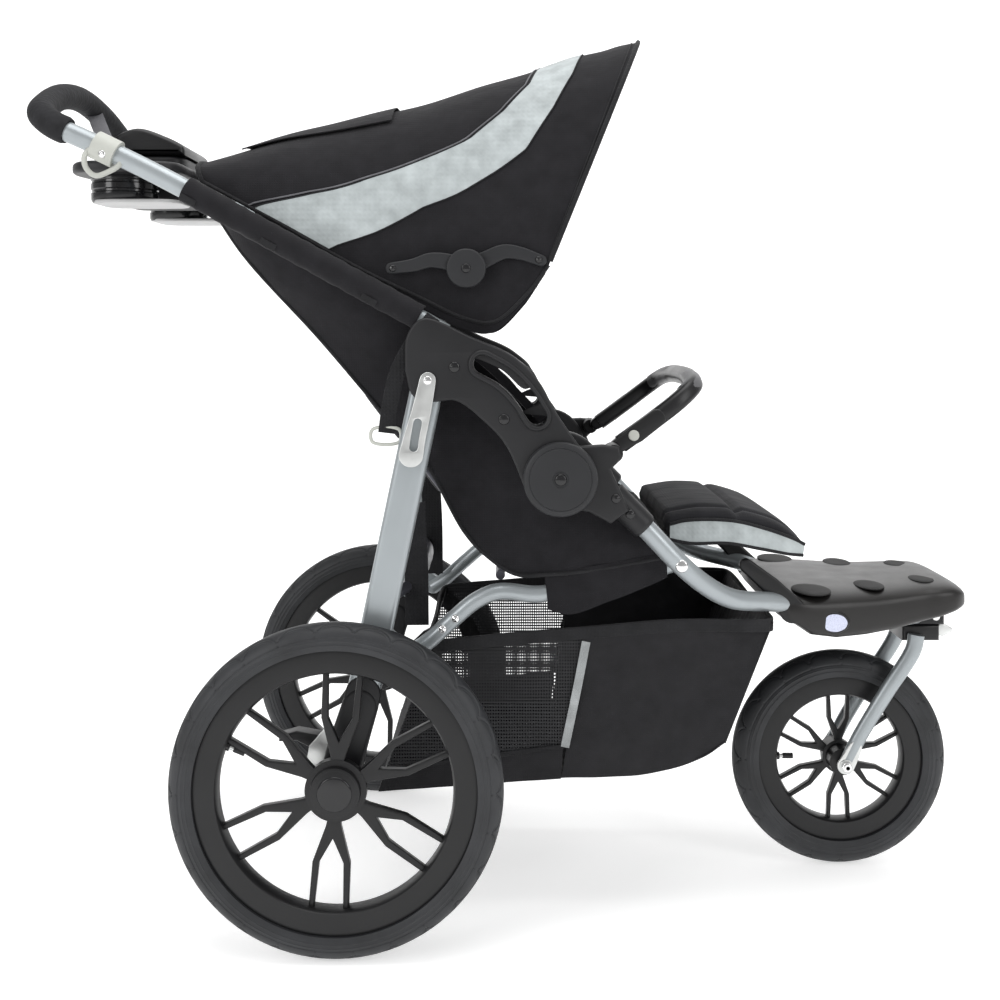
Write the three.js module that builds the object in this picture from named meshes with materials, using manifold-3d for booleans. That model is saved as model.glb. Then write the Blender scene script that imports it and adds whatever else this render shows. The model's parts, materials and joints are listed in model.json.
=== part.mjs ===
// A three-wheeled folding jogging stroller, in millimetres.
// +X is forward, +Y is the child's left, +Z is up, and the wheels stand on z = 0.
import * as THREE from 'three';
import { mergeVertices } from 'three/addons/utils/BufferGeometryUtils.js';
import Module from 'manifold-3d';

const wasm = await Module();
wasm.setup();

// ---------- driving dimensions ----------
const originShift = 3;            // moves the frame so that x = 0 is halfway along the stroller
const gap = 0.3;                  // clearance between touching pieces

const rearTyreRadius = 200;       // 16 inch air tyre
const frontTyreRadius = 149;      // 12 inch air tyre
const tyreWidth = 42;
const rearTrackHalf = 282;        // centre plane of each rear wheel
const rearHub = [-206, 200];
const frontHub = [463, 149];

const tubeRadius = 12.5;
const handleHalfWidth = 235;
const gripRadius = 17.5;

const foldPivot = [62, 568];      // upper frame on lower frame
const legPivot = [-98, 687];      // rear leg on the hinge housing
const linkRearPivot = [-120, 345];
const linkFrontPivot = [212, 458];
const canopyPivot = [-53, 824];
const seatBite = [-11, 436];
const swivelX = 576;

const legLayer = [236, 254];      // distances from the middle plane
const housingInner = [218, 234];
const housingOuter = [256.5, 264];
const linkHalfWidth = 203;
const panelLayer = [184, 188];
const seatHalfWidth = 165;
const basketHalfWidth = 178;

// ---------- finishes ----------
const finish = (color, roughness, metalness = 0) =>
  new THREE.MeshStandardMaterial({ color, roughness, metalness });
const silver = finish(0xb6babd, 0.38, 0.85);
const darkTube = finish(0x4a4a52, 0.4, 0.6);
const blackPlastic = finish(0x1c1c1e, 0.55);
const greyPlastic = finish(0x35363a, 0.6);
const ivoryPlastic = finish(0xd9d9d2, 0.5);
const rubber = finish(0x232324, 0.85);
const foam = finish(0x2a2a2c, 0.95);
const fabric = finish(0x18181b, 0.95);
const padding = finish(0x242428, 0.95);

// ---------- helpers ----------
const stroller = new THREE.Group();
stroller.position.x = originShift;

const sides = [['right', -1], ['left', 1]];

function addPart(name, geometry, material) {
  const mesh = new THREE.Mesh(geometry, material);
  mesh.name = name;
  stroller.add(mesh);
}

// A merged, position-only copy, which a boolean needs.
function toSolid(geometry) {
  const bare = geometry.clone();
  bare.deleteAttribute('normal');
  bare.deleteAttribute('uv');
  const merged = mergeVertices(bare, 1e-4);
  const mesh = new wasm.Mesh({
    numProp: 3,
    vertProperties: new Float32Array(merged.attributes.position.array),
    triVerts: new Uint32Array(merged.index.array),
  });
  mesh.merge();
  return new wasm.Manifold(mesh);
}

function fromSolid(solid) {
  const mesh = solid.getMesh();
  const geometry = new THREE.BufferGeometry();
  geometry.setAttribute('position', new THREE.BufferAttribute(mesh.vertProperties, 3));
  geometry.setIndex(new THREE.BufferAttribute(mesh.triVerts, 1));
  return geometry;
}

const join = (first, ...others) =>
  fromSolid(others.reduce((sum, other) => sum.add(toSolid(other)), toSolid(first)));
const cut = (first, ...others) =>
  fromSolid(others.reduce((rest, other) => rest.subtract(toSolid(other)), toSolid(first)));
const common = (first, second) => fromSolid(toSolid(first).intersect(toSolid(second)));

// A flat outline in the x-z plane, extruded from y0 to y1.
function plate(shape, y0, y1, curveSegments = 6) {
  const depth = Math.abs(y1 - y0);
  const geometry = new THREE.ExtrudeGeometry(shape, { depth, bevelEnabled: false, curveSegments });
  geometry.rotateX(Math.PI / 2);
  geometry.translate(0, Math.max(y0, y1), 0);
  return geometry;
}

// The same on the side s: layer gives distances from the middle plane.
const sidePlate = (shape, side, layer, curveSegments) =>
  plate(shape, side * layer[0], side * layer[1], curveSegments);

// A flat outline in the x-y plane, extruded from z0 to z1.
function slab(shape, z0, z1, curveSegments = 6) {
  const geometry = new THREE.ExtrudeGeometry(
    shape, { depth: z1 - z0, bevelEnabled: false, curveSegments });
  geometry.translate(0, 0, z0);
  return geometry;
}

function polygon(points) {
  const shape = new THREE.Shape();
  points.forEach(([u, v], i) => (i ? shape.lineTo(u, v) : shape.moveTo(u, v)));
  shape.closePath();
  return shape;
}

// A smooth closed outline through a few points.
function smoothOutline(points, count) {
  const curve = new THREE.CatmullRomCurve3(
    points.map(([u, v]) => new THREE.Vector3(u, v, 0)), true, 'centripetal');
  return polygon(curve.getPoints(count).slice(0, -1).map((p) => [p.x, p.y]));
}

// A cylinder along y from y0 to y1 at (x, z).
function pin([x, z], radius, y0, y1, segments = 16) {
  const geometry = new THREE.CylinderGeometry(radius, radius, Math.abs(y1 - y0), segments);
  geometry.translate(x, (y0 + y1) / 2, z);
  return geometry;
}
const sidePin = (centre, radius, side, layer, segments) =>
  pin(centre, radius, side * layer[0], side * layer[1], segments);

// A cylinder between two points in space.
function rod(from, to, radius, segments = 12) {
  const start = new THREE.Vector3(...from);
  const end = new THREE.Vector3(...to);
  const geometry = new THREE.CylinderGeometry(radius, radius, start.distanceTo(end), segments);
  const turn = new THREE.Quaternion().setFromUnitVectors(
    new THREE.Vector3(0, 1, 0), end.clone().sub(start).normalize());
  geometry.applyQuaternion(turn);
  const middle = start.add(end).multiplyScalar(0.5);
  geometry.translate(middle.x, middle.y, middle.z);
  return geometry;
}

// A strap-shaped outline of the given half width along a line of points, with round ends.
function strip(points, halfWidths) {
  const dir = (i) => {
    const a = points[Math.max(i - 1, 0)];
    const b = points[Math.min(i + 1, points.length - 1)];
    return Math.atan2(b[1] - a[1], b[0] - a[0]);
  };
  const half = (i) => (Array.isArray(halfWidths) ? halfWidths[i] : halfWidths);
  const edge = (i, turn) => {
    const angle = dir(i) + turn;
    return [points[i][0] + half(i) * Math.cos(angle), points[i][1] + half(i) * Math.sin(angle)];
  };
  const last = points.length - 1;
  const outline = points.map((_, i) => edge(i, -Math.PI / 2));
  for (const k of [1, 2, 3]) outline.push(edge(last, -Math.PI / 2 + (k * Math.PI) / 4));
  for (let i = last; i >= 0; i--) outline.push(edge(i, Math.PI / 2));
  for (const k of [1, 2, 3]) outline.push(edge(0, Math.PI / 2 + (k * Math.PI) / 4));
  return polygon(outline);
}

// A round tube along a smooth line of [x, y, z] points; inner > 0 makes a sleeve.
function tube(points, radius, steps, segments = 10, inner = 0) {
  const section = new THREE.Shape();
  section.absarc(0, 0, radius, 0, 2 * Math.PI, false);
  if (inner > 0) {
    const bore = new THREE.Path();
    bore.absarc(0, 0, inner, 0, 2 * Math.PI, true);
    section.holes.push(bore);
  }
  const extrudePath = new THREE.CatmullRomCurve3(
    points.map((p) => new THREE.Vector3(...p)), false, 'centripetal');
  return new THREE.ExtrudeGeometry(
    section, { steps, extrudePath, curveSegments: segments, bevelEnabled: false });
}

// A turned ring or shaft about the y axis; profile is [radius, y] pairs.
function turned(profile, [x, z], y, segments) {
  const geometry = new THREE.LatheGeometry(
    profile.map(([r, v]) => new THREE.Vector2(r, v)), segments);
  geometry.translate(x, y, z);
  return geometry;
}

const mirrorLine = (points) => [
  ...points.map(([x, y, z]) => [x, -y, z]),
  ...points.slice(0, -1).reverse(),
];

// ---------- wheels ----------
function tyre(outer, inner, halfWidth, centre, y, segments) {
  const shoulder = outer - 9;
  const profile = [
    [inner, -halfWidth * 0.7], [(inner + outer) / 2, -halfWidth],
    [shoulder, -halfWidth * 0.72], [outer, -halfWidth * 0.25], [outer, halfWidth * 0.25],
    [shoulder, halfWidth * 0.72], [(inner + outer) / 2, halfWidth],
    [inner, halfWidth * 0.7], [inner, -halfWidth * 0.7],
  ];
  return turned(profile, centre, y, segments);
}

// A moulded rim: a ring, a hub with an axle bore, and six forked spokes.
function rim({ outer, inner, hub, hubHalf, ringHalf, spread, bore, firstAngle, segments }, centre, y) {
  const [x, z] = centre;
  const ring = turned([
    [inner, -ringHalf * 0.8], [outer, -ringHalf], [outer, ringHalf],
    [inner, ringHalf * 0.8], [inner, -ringHalf * 0.8],
  ], centre, y, segments);
  const centrePiece = turned([
    [bore, -hubHalf], [hub * 0.8, -hubHalf], [hub, 0], [hub * 0.8, hubHalf],
    [bore, hubHalf], [bore, -hubHalf],
  ], centre, y, 16);
  const kink = hub + (inner - hub) * 0.45;
  const reach = inner + 2;
  const prong = spread * 0.3;
  const pair = [
    [hub * 0.75, -spread * 0.35], [kink, -spread - prong], [reach, -spread * 1.1 - prong],
    [reach, -spread * 1.1 + prong], [kink, -spread + prong], [kink * 0.62, 0],
    [kink, spread - prong], [reach, spread * 1.1 - prong], [reach, spread * 1.1 + prong],
    [kink, spread + prong], [hub * 0.75, spread * 0.35],
  ];
  const spokes = [];
  for (let i = 0; i < 6; i++) {
    const spoke = plate(polygon(pair), y - 5, y + 5);
    spoke.rotateY(-THREE.MathUtils.degToRad(firstAngle + 60 * i));
    spoke.translate(x, 0, z);
    spokes.push(spoke);
  }
  return join(ring, centrePiece, ...spokes);
}

function buildRearWheels() {
  for (const [word, side] of sides) {
    const y = side * rearTrackHalf;
    addPart(`rear_tyre_${word}`, tyre(rearTyreRadius, 167.3, tyreWidth / 2, rearHub, y, 32), rubber);
    const form = {
      outer: 167, inner: 141, hub: 36, hubHalf: 18, ringHalf: 15,
      spread: 18, bore: 6.4, firstAngle: 26.5, segments: 32,
    };
    addPart(`rear_rim_${word}`, rim(form, rearHub, y), blackPlastic);
    const cap = sidePin(rearHub, 20, side, [rearTrackHalf + 18.4, rearTrackHalf + 21], 16);
    addPart(`rear_hub_cap_${word}`, cap, greyPlastic);
  }
}

function buildFrontWheel() {
  addPart('front_tyre', tyre(frontTyreRadius, 112.3, tyreWidth / 2, frontHub, 0, 32), rubber);
  const form = {
    outer: 112, inner: 88, hub: 22, hubHalf: 33, ringHalf: 15,
    spread: 12, bore: 5.4, firstAngle: 30, segments: 32,
  };
  addPart('front_rim', rim(form, frontHub, 0), blackPlastic);
  const profile = [
    [0, -55], [8, -55], [8, -47.4], [5, -47.4], [5, 47.4], [8, 47.4], [8, 55], [0, 55],
  ];
  addPart('front_axle', turned(profile, frontHub, 0, 16), silver);
}

// ---------- front fork ----------
const crownTop = 340;
const forkLayer = [35, 47];

function buildFork() {
  const line = [[561, 326], [557, 308], [520, 249], [484, 190], frontHub];
  for (const [word, side] of sides) {
    const blade = cut(
      sidePlate(strip(line, [12, 12, 12, 11, 12]), side, forkLayer),
      sidePin(frontHub, 5.3, side, [30, 52], 12));
    addPart(`fork_blade_${word}`, blade, silver);
  }
  const bridge = new THREE.BoxGeometry(52, 2 * (forkLayer[0] - gap), 22);
  bridge.translate(570, 0, crownTop - 11);
  const stem = new THREE.CylinderGeometry(10, 10, 36, 16);
  stem.rotateX(Math.PI / 2);
  stem.translate(swivelX, 0, crownTop + 17);
  addPart('fork_crown', join(bridge, stem), silver);

  const lever = polygon([[597, 322], [606, 319], [620, 326], [620, 331], [604, 338], [601, 336],
    [598, 331]]);
  addPart('swivel_lock_lever', plate(lever, -14, 14), silver);
}

// ---------- lower frame ----------
const frontTubeLine = [
  [129, 230, 544], [170, 230, 502], [212, 226, 458], [246, 212, 429], [281, 193, 409],
  [354, 148, 394], [430, 110, 368], [500, 72, 356], [560, 40, 356],
];
const socketEnd = [166, 230, 506];

function sideTube(line, side, radius, steps, segments) {
  return tube(line.map(([x, y, z]) => [x, side * y, z]), radius, steps, segments);
}

const blockBox = { x: [546, 602], half: 36, z: [crownTop + gap, 377] };

function buildSwivelBlock() {
  const [x0, x1] = blockBox.x;
  const [z0, z1] = blockBox.z;
  const body = new THREE.BoxGeometry(x1 - x0, 2 * blockBox.half, z1 - z0);
  body.translate((x0 + x1) / 2, 0, (z0 + z1) / 2);
  const bore = new THREE.CylinderGeometry(10.4, 10.4, 60, 16);
  bore.rotateX(Math.PI / 2);
  bore.translate(swivelX, 0, 355);
  addPart('swivel_block', cut(body, bore), silver);
}

function blockClearance() {
  const [x0, x1] = blockBox.x;
  const box = new THREE.BoxGeometry(x1 - x0 + 2 * gap, 2 * blockBox.half + 2 * gap, 60);
  box.translate((x0 + x1) / 2, 0, 355);
  return box;
}

function buildFrontTubes() {
  const bolt = (side) => sidePin(linkFrontPivot, 5.4, side, [180, 250], 12);
  for (const [word, side] of sides) {
    const pipe = cut(
      sideTube(frontTubeLine, side, tubeRadius, 20, 4), blockClearance(), bolt(side));
    addPart(`front_tube_${word}`, pipe, silver);
  }
}

// The lower half of the fold joint, with the sleeve that holds the front tube.
function buildFrontSockets() {
  for (const [word, side] of sides) {
    const [ax, az] = foldPivot;
    const disc = sidePin(foldPivot, 38, side, legLayer, 24);
    const web = polygon([[ax, az - 36], [ax + 66, az - 60], [ax + 92, az - 34], [ax + 78, az + 34],
      [ax + 52, az + 44], [ax, az + 37]]);
    const arm = sidePlate(web, side, legLayer);
    const sleeve = rod([129, side * 230, 544], socketEnd.map((v, i) => (i === 1 ? side * v : v)), 17);
    const lug = sidePin([128, 597], 11, side, [207, 250], 14);
    const pipe = sideTube(frontTubeLine, side, tubeRadius + gap, 20, 4);
    const bore = sidePin(foldPivot, 8.4, side, [200, 280], 16);
    addPart(`front_socket_${word}`, cut(join(disc, arm, sleeve, lug), pipe, bore), blackPlastic);
    const cover = sidePin(foldPivot, 45, side, [housingOuter[1] + gap, 276], 28);
    addPart(`hub_cover_${word}`, cover, greyPlastic);
  }
}

function buildFootrest() {
  const plan = (inset) => {
    const shape = new THREE.Shape();
    const rear = 352 - inset * 3;
    shape.moveTo(rear, -160 + inset);
    shape.bezierCurveTo(430, -160 + inset, 520, -118 + inset, 575, -112 + inset);
    shape.absarc(576, -72 + inset, 40 - inset * 0.5, -Math.PI / 2, 0, false);
    shape.absarc(576, 72 - inset, 40 - inset * 0.5, 0, Math.PI / 2, false);
    shape.bezierCurveTo(520, 118 - inset, 430, 160 - inset, rear, 160 - inset);
    shape.closePath();
    return slab(shape, 300, 430, 6);
  };
  const side = polygon([[352, 372], [426, 346], [500, 349], [574, 362], [616, 378], [616, 390],
    [589, 409], [480, 404], [380, 405], [352, 396]]);
  const inside = polygon([[300, 300], [640, 300], [640, 380], [589, 397], [480, 392], [300, 393]]);
  const outerForm = common(plan(0), plate(side, -170, 170));
  const innerForm = common(plan(7), plate(inside, -170, 170));
  const channels = sides.map(([, s]) => sideTube(frontTubeLine, s, tubeRadius + gap, 20, 4));
  addPart('footrest', cut(outerForm, innerForm, ...channels), blackPlastic);
}

function buildLinkTubes() {
  const line = [[-120, 345], [-102, 357], [-67, 388], [-41, 409], [-13, 420], [38, 417],
    [120, 433], [170, 443], linkFrontPivot];
  for (const [word, side] of sides) {
    const pipe = sideTube(line.map(([x, z]) => [x, linkHalfWidth, z]), side, 10.5, 14, 4);
    const eyes = [linkRearPivot, linkFrontPivot].map((centre) =>
      sidePin(centre, 5.4, side, [180, 230], 12));
    addPart(`link_tube_${word}`, cut(pipe, ...eyes), silver);
  }
}

// ---------- upper frame ----------
const handleLine = [
  [-78, 235, 743], [-260, 235, 845], [-425, 235, 935], [-515, 235, 979], [-560, 231, 1001],
  [-588, 212, 1022], [-600, 170, 1045], [-607, 90, 1074], [-609, 0, 1084],
];

// The foam grip covers the loop: it shares the tube's own steps, so that the two stay concentric.
function buildHandle() {
  const path = mirrorLine(handleLine);
  const steps = 56;
  const gripFirstStep = 18;
  addPart('handle_tube', tube(path, tubeRadius, steps, 4), silver);
  const curve = new THREE.CatmullRomCurve3(
    path.map((p) => new THREE.Vector3(...p)), false, 'centripetal');
  const covered = curve.getSpacedPoints(steps).slice(gripFirstStep, steps + 1 - gripFirstStep);
  const gripLine = covered.map((p) => [p.x, p.y, p.z]);
  addPart('handle_grip',
    tube(gripLine, gripRadius, steps - 2 * gripFirstStep, 4, tubeRadius + 1.6), foam);
}

function housingOutline() {
  const [ax, az] = foldPivot;
  const shape = new THREE.Shape();
  shape.moveTo(-126, 700);
  shape.splineThru([[-123, 742], [-104, 762], [-45, 739], [5, 716], [36, 686], [56, 650], [86, 606]]
    .map((p) => new THREE.Vector2(...p)));
  shape.absarc(ax, az, 45, 1.0, -2.6, true);
  shape.splineThru([[-4, 608], [-31, 638], [-64, 662], [-92, 661], [-116, 668], [-126, 700]]
    .map((p) => new THREE.Vector2(...p)));
  return shape;
}

// The lug of the lower half sweeps this slot through the inner cheek as the frame folds.
function lugPath(side) {
  const [ax, az] = foldPivot;
  const arc = (radius, angles) => angles.map((a) => {
    const turn = THREE.MathUtils.degToRad(a);
    return [ax + radius * Math.cos(turn), az + radius * Math.sin(turn)];
  });
  const sweep = [0, 20, 40, 60, 80, 100, 112, 124];
  const ring = polygon([...arc(87, sweep), ...arc(57, sweep.toReversed())]);
  const [y0, y1] = housingInner;
  return sidePlate(ring, side, [y0 - 1, y1 + 1]);
}

function buildHousings() {
  const topWeb = polygon([[-125, 720], [-122, 744], [-104, 761], [-45, 738.5], [5, 715.5],
    [34, 688], [20, 676], [-10, 700], [-60, 718], [-90, 712]]);
  const handSlot = strip([[-30, 707], [0, 688], [30, 655]], 8);
  for (const [word, side] of sides) {
    const outline = housingOutline();
    const inner = cut(sidePlate(outline, side, housingInner, 2), lugPath(side));
    const outer = sidePlate(outline, side, housingOuter, 2);
    const web = sidePlate(topWeb, side, [housingInner[1] - 1, housingOuter[0] + 1]);
    const pins = [[foldPivot, 8], [legPivot, 6]].map(([centre, radius]) =>
      sidePin(centre, radius, side, [housingInner[1] - 1, housingOuter[0] + 1], 16));
    const openings = [
      sidePlate(handSlot, side, [200, 290]),
      rod([-70, side * 235, 738.5], [-260, side * 235, 845], tubeRadius + gap + 0.4, 12),
    ];
    addPart(`hinge_housing_${word}`, cut(join(inner, outer, web, ...pins), ...openings), blackPlastic);
  }
}

function buildTray() {
  const cupX = -500;
  const cupY = 138;
  const plan = smoothOutline([[-414, 0], [-416, 120], [-424, 190], [-470, 206], [-535, 202],
    [-558, 170], [-552, 90], [-548, 0], [-552, -90], [-558, -170], [-535, -202], [-470, -206],
    [-424, -190], [-416, -120]], 40);
  const deck = slab(plan, 946, 960);
  const upright = (radius, z0, z1, y, segments) => {
    const cylinder = new THREE.CylinderGeometry(radius, radius, z1 - z0, segments);
    cylinder.rotateX(Math.PI / 2);
    cylinder.translate(cupX, y, (z0 + z1) / 2);
    return cylinder;
  };
  const box = (x0, x1, half, z0, z1) => {
    const geometry = new THREE.BoxGeometry(x1 - x0, 2 * half, z1 - z0);
    geometry.translate((x0 + x1) / 2, 0, (z0 + z1) / 2);
    return geometry;
  };
  const cups = sides.map(([, s]) => upright(43, 911, 955, s * cupY, 24));
  const wells = sides.map(([, s]) => upright(38, 915, 990, s * cupY, 24));
  const bin = box(-545, -440, 72, 922, 984);
  const well = box(-541, -444, 68, 926, 1000);
  addPart('parent_tray', cut(join(deck, ...cups, bin), ...wells, well), blackPlastic);

  const dome = polygon([[-545, 984.3], [-545, 994], [-530, 1012], [-504, 1022], [-470, 1012],
    [-440, 994], [-440, 984.3]]);
  addPart('tray_lid', plate(dome, -74, 74), blackPlastic);

  for (const [word, side] of sides) {
    const along = [[-482, side * 235, 963.5], [-507, side * 235, 975.5]];
    const ring = rod(along[0], along[1], 18, 14);
    const hook = sidePlate(polygon([[-506, 962], [-478, 950], [-480, 930], [-500, 925], [-512, 945]]),
      side, [224, 240]);
    const bore = rod([-440, side * 235, 942.8], [-540, side * 235, 991.2], tubeRadius + 1, 12);
    addPart(`tray_clip_${word}`, cut(join(ring, hook), bore), ivoryPlastic);
  }
}

// ---------- canopy ----------
// Lower edge and crown of the canopy at each rib, from the rear hem to the front hem.
const canopyRibs = [
  [[-386, 934], [-400, 966]], [[-291, 879], [-300, 1005]], [[-190, 818], [-190, 1035]],
  [[-110, 776], [-80, 1066]], [[-60, 750], [10, 1094]], [[-20, 745], [85, 1118]],
  [[20, 782], [140, 1133]], [[45, 817], [176, 1140]],
];
const canopyHalfWidth = 212;
const archPower = 3.2;

// One rib as a squared arch from the right edge over the crown to the left edge.
function archPoint([bottom, crown], angle, inset) {
  const round = (v) => Math.sign(v) * Math.abs(v) ** (2 / archPower);
  const across = round(Math.cos(angle));
  const up = round(Math.sin(angle));
  const rise = crown[1] - bottom[1];
  const reach = 1 - inset / Math.max(rise, 30);
  const y = -across * (canopyHalfWidth - inset);
  return [bottom[0] + (crown[0] - bottom[0]) * up * reach, y, bottom[1] + rise * up * reach];
}

function buildCanopyFabric() {
  const steps = 16;
  const skins = [0, 2.4].map((inset) => canopyRibs.map((rib) =>
    Array.from({ length: steps + 1 }, (_, j) => archPoint(rib, (j * Math.PI) / steps, inset))));
  const positions = skins.flat(2).flat();
  const columns = steps + 1;
  const rows = canopyRibs.length;
  const at = (skin, i, j) => (skin * rows + i) * columns + j;
  const index = [];
  const quad = (a, b, c, d) => index.push(a, b, c, a, c, d);
  for (let i = 0; i < rows - 1; i++) {
    for (let j = 0; j < steps; j++) {
      quad(at(0, i, j), at(0, i + 1, j), at(0, i + 1, j + 1), at(0, i, j + 1));
      quad(at(1, i, j), at(1, i, j + 1), at(1, i + 1, j + 1), at(1, i + 1, j));
    }
    quad(at(0, i, 0), at(1, i, 0), at(1, i + 1, 0), at(0, i + 1, 0));
    quad(at(0, i, steps), at(0, i + 1, steps), at(1, i + 1, steps), at(1, i, steps));
  }
  for (let j = 0; j < steps; j++) {
    quad(at(0, 0, j), at(0, 0, j + 1), at(1, 0, j + 1), at(1, 0, j));
    quad(at(0, rows - 1, j), at(1, rows - 1, j), at(1, rows - 1, j + 1), at(0, rows - 1, j + 1));
  }
  const geometry = new THREE.BufferGeometry();
  geometry.setAttribute('position', new THREE.Float32BufferAttribute(positions, 3));
  geometry.setIndex(index);
  addPart('canopy_fabric', geometry, fabric);
}

// A bow of the canopy: a tube that follows a rib just inside the cloth.
function bow(rib, radius) {
  const points = [];
  for (let j = 0; j <= 16; j++) points.push(archPoint(rib, (j * Math.PI) / 16, radius + 8));
  return tube(points, radius, 18, 3);
}

function buildCanopyFrame() {
  addPart('canopy_front_bow', bow([[44, 830], [170, 1137]], 4.5), greyPlastic);
  addPart('canopy_rear_bow', bow([[-150, 822], [-190, 1033]], 4.5), greyPlastic);
  const rearArm = strip([[-146, 824], [-100, 829], canopyPivot], [9, 10, 12]);
  const frontArm = strip([canopyPivot, [-10, 836], [38, 834]], [12, 10, 9]);
  const rearLayer = [214, 219];
  const frontLayer = [219.4, 225];
  for (const [word, side] of sides) {
    const bore = sidePin(canopyPivot, 5.3, side, [200, 240], 12);
    const rivet = sidePin(canopyPivot, 5, side, [213, 226], 12);
    const disc = sidePin(canopyPivot, 25, side, [225.4, 231], 24);
    const rear = join(sidePlate(rearArm, side, rearLayer), rivet, disc);
    addPart(`canopy_rear_arm_${word}`, rear, greyPlastic);
    addPart(`canopy_front_arm_${word}`,
      cut(sidePlate(frontArm, side, frontLayer), bore), greyPlastic);
  }
}

// ---------- seat ----------
function buildSeat() {
  const cushion = polygon([[24, 441], [198, 466], [198, 508], [100, 492], [38, 480]]);
  addPart('seat_cushion', plate(cushion, -seatHalfWidth, seatHalfWidth), padding);
  const legPad = polygon([[198.5, 468], [368, 470], [380, 478], [372, 499], [300, 513], [198.5, 509]]);
  addPart('leg_pad', plate(legPad, -seatHalfWidth - 3, seatHalfWidth + 3), padding);

  const lean = THREE.MathUtils.degToRad(37.2);
  const up = [-Math.sin(lean), Math.cos(lean)];
  const out = [Math.cos(lean), Math.sin(lean)];
  const along = (length, depth) => [
    seatBite[0] - 3 + up[0] * length + out[0] * depth,
    seatBite[1] + up[1] * length + out[1] * depth];
  const pad = polygon([along(16, -4), along(500, -4), along(512, 10), along(500, 24), along(24, 26)]);
  addPart('backrest_pad', plate(pad, -seatHalfWidth - 3, seatHalfWidth + 3), padding);

  // The hinge bar turns up beside the pad at both ends, and the back leans between the arms.
  const armEnd = (length, side) => {
    const [x, z] = along(length, 10);
    return [x, side * (seatHalfWidth + 9.5), z];
  };
  const arms = sides.map(([, side]) => rod(armEnd(0, side), armEnd(200, side), 5));
  addPart('back_hinge_bar', join(pin(seatBite, 6, -178, 178, 12), ...arms), darkTube);

  const wing = polygon([[-386, 922], [-290, 868], [-200, 812], [-112, 758], [-64, 718], [-22, 688],
    [14, 640], [10, 606], [-60, 566], [-112, 580], [-161, 642], [-209, 704], [-297, 790],
    [-341, 846], [-362, 885]]);
  const panel = polygon([[-56, 560], [22, 598], [96, 600], [150, 545], [196, 500], [200, 466],
    [15, 440], [-10, 452], [-58, 520]]);
  for (const [word, side] of sides) {
    addPart(`seat_wing_${word}`, sidePlate(wing, side, panelLayer), fabric);
    addPart(`side_panel_${word}`, sidePlate(panel, side, panelLayer), fabric);
  }
}

function buildBasket() {
  const wall = 4;
  const outside = polygon([[-98, 350], [86, 366], [211, 377], [338, 377], [274, 221], [246, 203],
    [174, 182], [-6, 172], [-166, 160]]);
  const inside = polygon([[-93, 390], [332, 390], [332, 374], [270, 223], [244, 208], [173, 187],
    [-6, 177], [-160, 165], [-93, 346]]);
  const basket = cut(
    plate(outside, -basketHalfWidth, basketHalfWidth),
    plate(inside, -basketHalfWidth + wall, basketHalfWidth - wall));
  addPart('basket', basket, fabric);
}

// ---------- arm bar ----------
function buildArmBar() {
  const line = [[138, 196, 603], [180, 196, 633], [214, 193, 660], [232, 176, 675],
    [240, 120, 683], [242, 0, 686]];
  const bar = tube(mirrorLine(line), 12, 24, 4);
  const buttonAt = [156, 616];
  const pockets = sides.map(([, s]) => sidePin(buttonAt, 7.4, s, [200, 220], 14));
  addPart('arm_bar', cut(bar, ...pockets), blackPlastic);
  for (const [word, side] of sides) {
    addPart(`arm_bar_button_${word}`, sidePin(buttonAt, 7, side, [203.5, 210.5], 14), ivoryPlastic);
  }
}

// ---------- rear frame ----------
const legSlope = 0.209;
const legAt = (z) => legPivot[0] + (z - legPivot[1]) * legSlope;

// A block on one end of the leg, whose near face crosses the leg squarely at height z.
function blockAcrossLeg(z, way, side) {
  const lean = Math.atan(legSlope);
  const block = new THREE.BoxGeometry(120, 60, 60);
  block.rotateY(lean);
  block.translate(
    legAt(z) + way * 30 * Math.sin(lean), side * 245, z + way * 30 * Math.cos(lean));
  return block;
}

function buildRearFrame() {
  const legBottom = 303;
  const leg = strip([legPivot, [legAt(480), 480], [legAt(legBottom + 8), legBottom + 8]], 20);
  const foot = strip([[legAt(288), 290], [-199, 228], rearHub], [22, 24, 25]);
  for (const [word, side] of sides) {
    const bore = sidePin(legPivot, 6.4, side, [220, 270], 16);
    const legEnd = blockAcrossLeg(legBottom, -1, side);
    const bracket = sidePlate(strip([[legAt(372), 372], linkRearPivot], [18, 14]), side, [224, 240]);
    addPart(`rear_leg_${word}`, cut(join(sidePlate(leg, side, legLayer), bracket),
      bore, legEnd, sidePin(linkRearPivot, 5.4, side, [215, 245], 12)), silver);
    const footBlock = sidePlate(foot, side, [232, 257]);
    const above = blockAcrossLeg(legBottom - gap, 1, side);
    addPart(`leg_foot_${word}`,
      cut(footBlock, above, sidePin(rearHub, 6.4, side, [220, 270], 16)), blackPlastic);

    const latch = strip([legPivot, [-114, 616], [-118, 596]], [10, 13, 15]);
    const latchLayer = [housingOuter[1] + gap, housingOuter[1] + 3.5];
    const fingerHole = sidePlate(strip([[-110, 636], [-115, 606]], 5), side, [260, 272]);
    addPart(`fold_latch_${word}`, cut(sidePlate(latch, side, latchLayer), fingerHole), silver);

    const pedal = polygon([[-222, 226], [-226, 244], [-262, 252], [-284, 246], [-282, 238],
      [-258, 240], [-238, 226]]);
    addPart(`brake_pedal_${word}`, sidePlate(pedal, side, [205, 230]), blackPlastic);
  }
  const end = rearTrackHalf + 15;
  const axle = [[0, -end], [6, -end], [6, -231], [10, -231], [10, 231], [6, 231], [6, end], [0, end]];
  addPart('rear_axle', turned(axle, rearHub, 0, 16), silver);
  const support = mirrorLine([[-142, 235, 421], [-140, 216, 421], [-131, 176, 421],
    [-122, 120, 421], [-118, 50, 421], [-118, 0, 421]]);
  addPart('seat_support_bar', tube(support, 8, 18, 3), darkTube);
}

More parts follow.
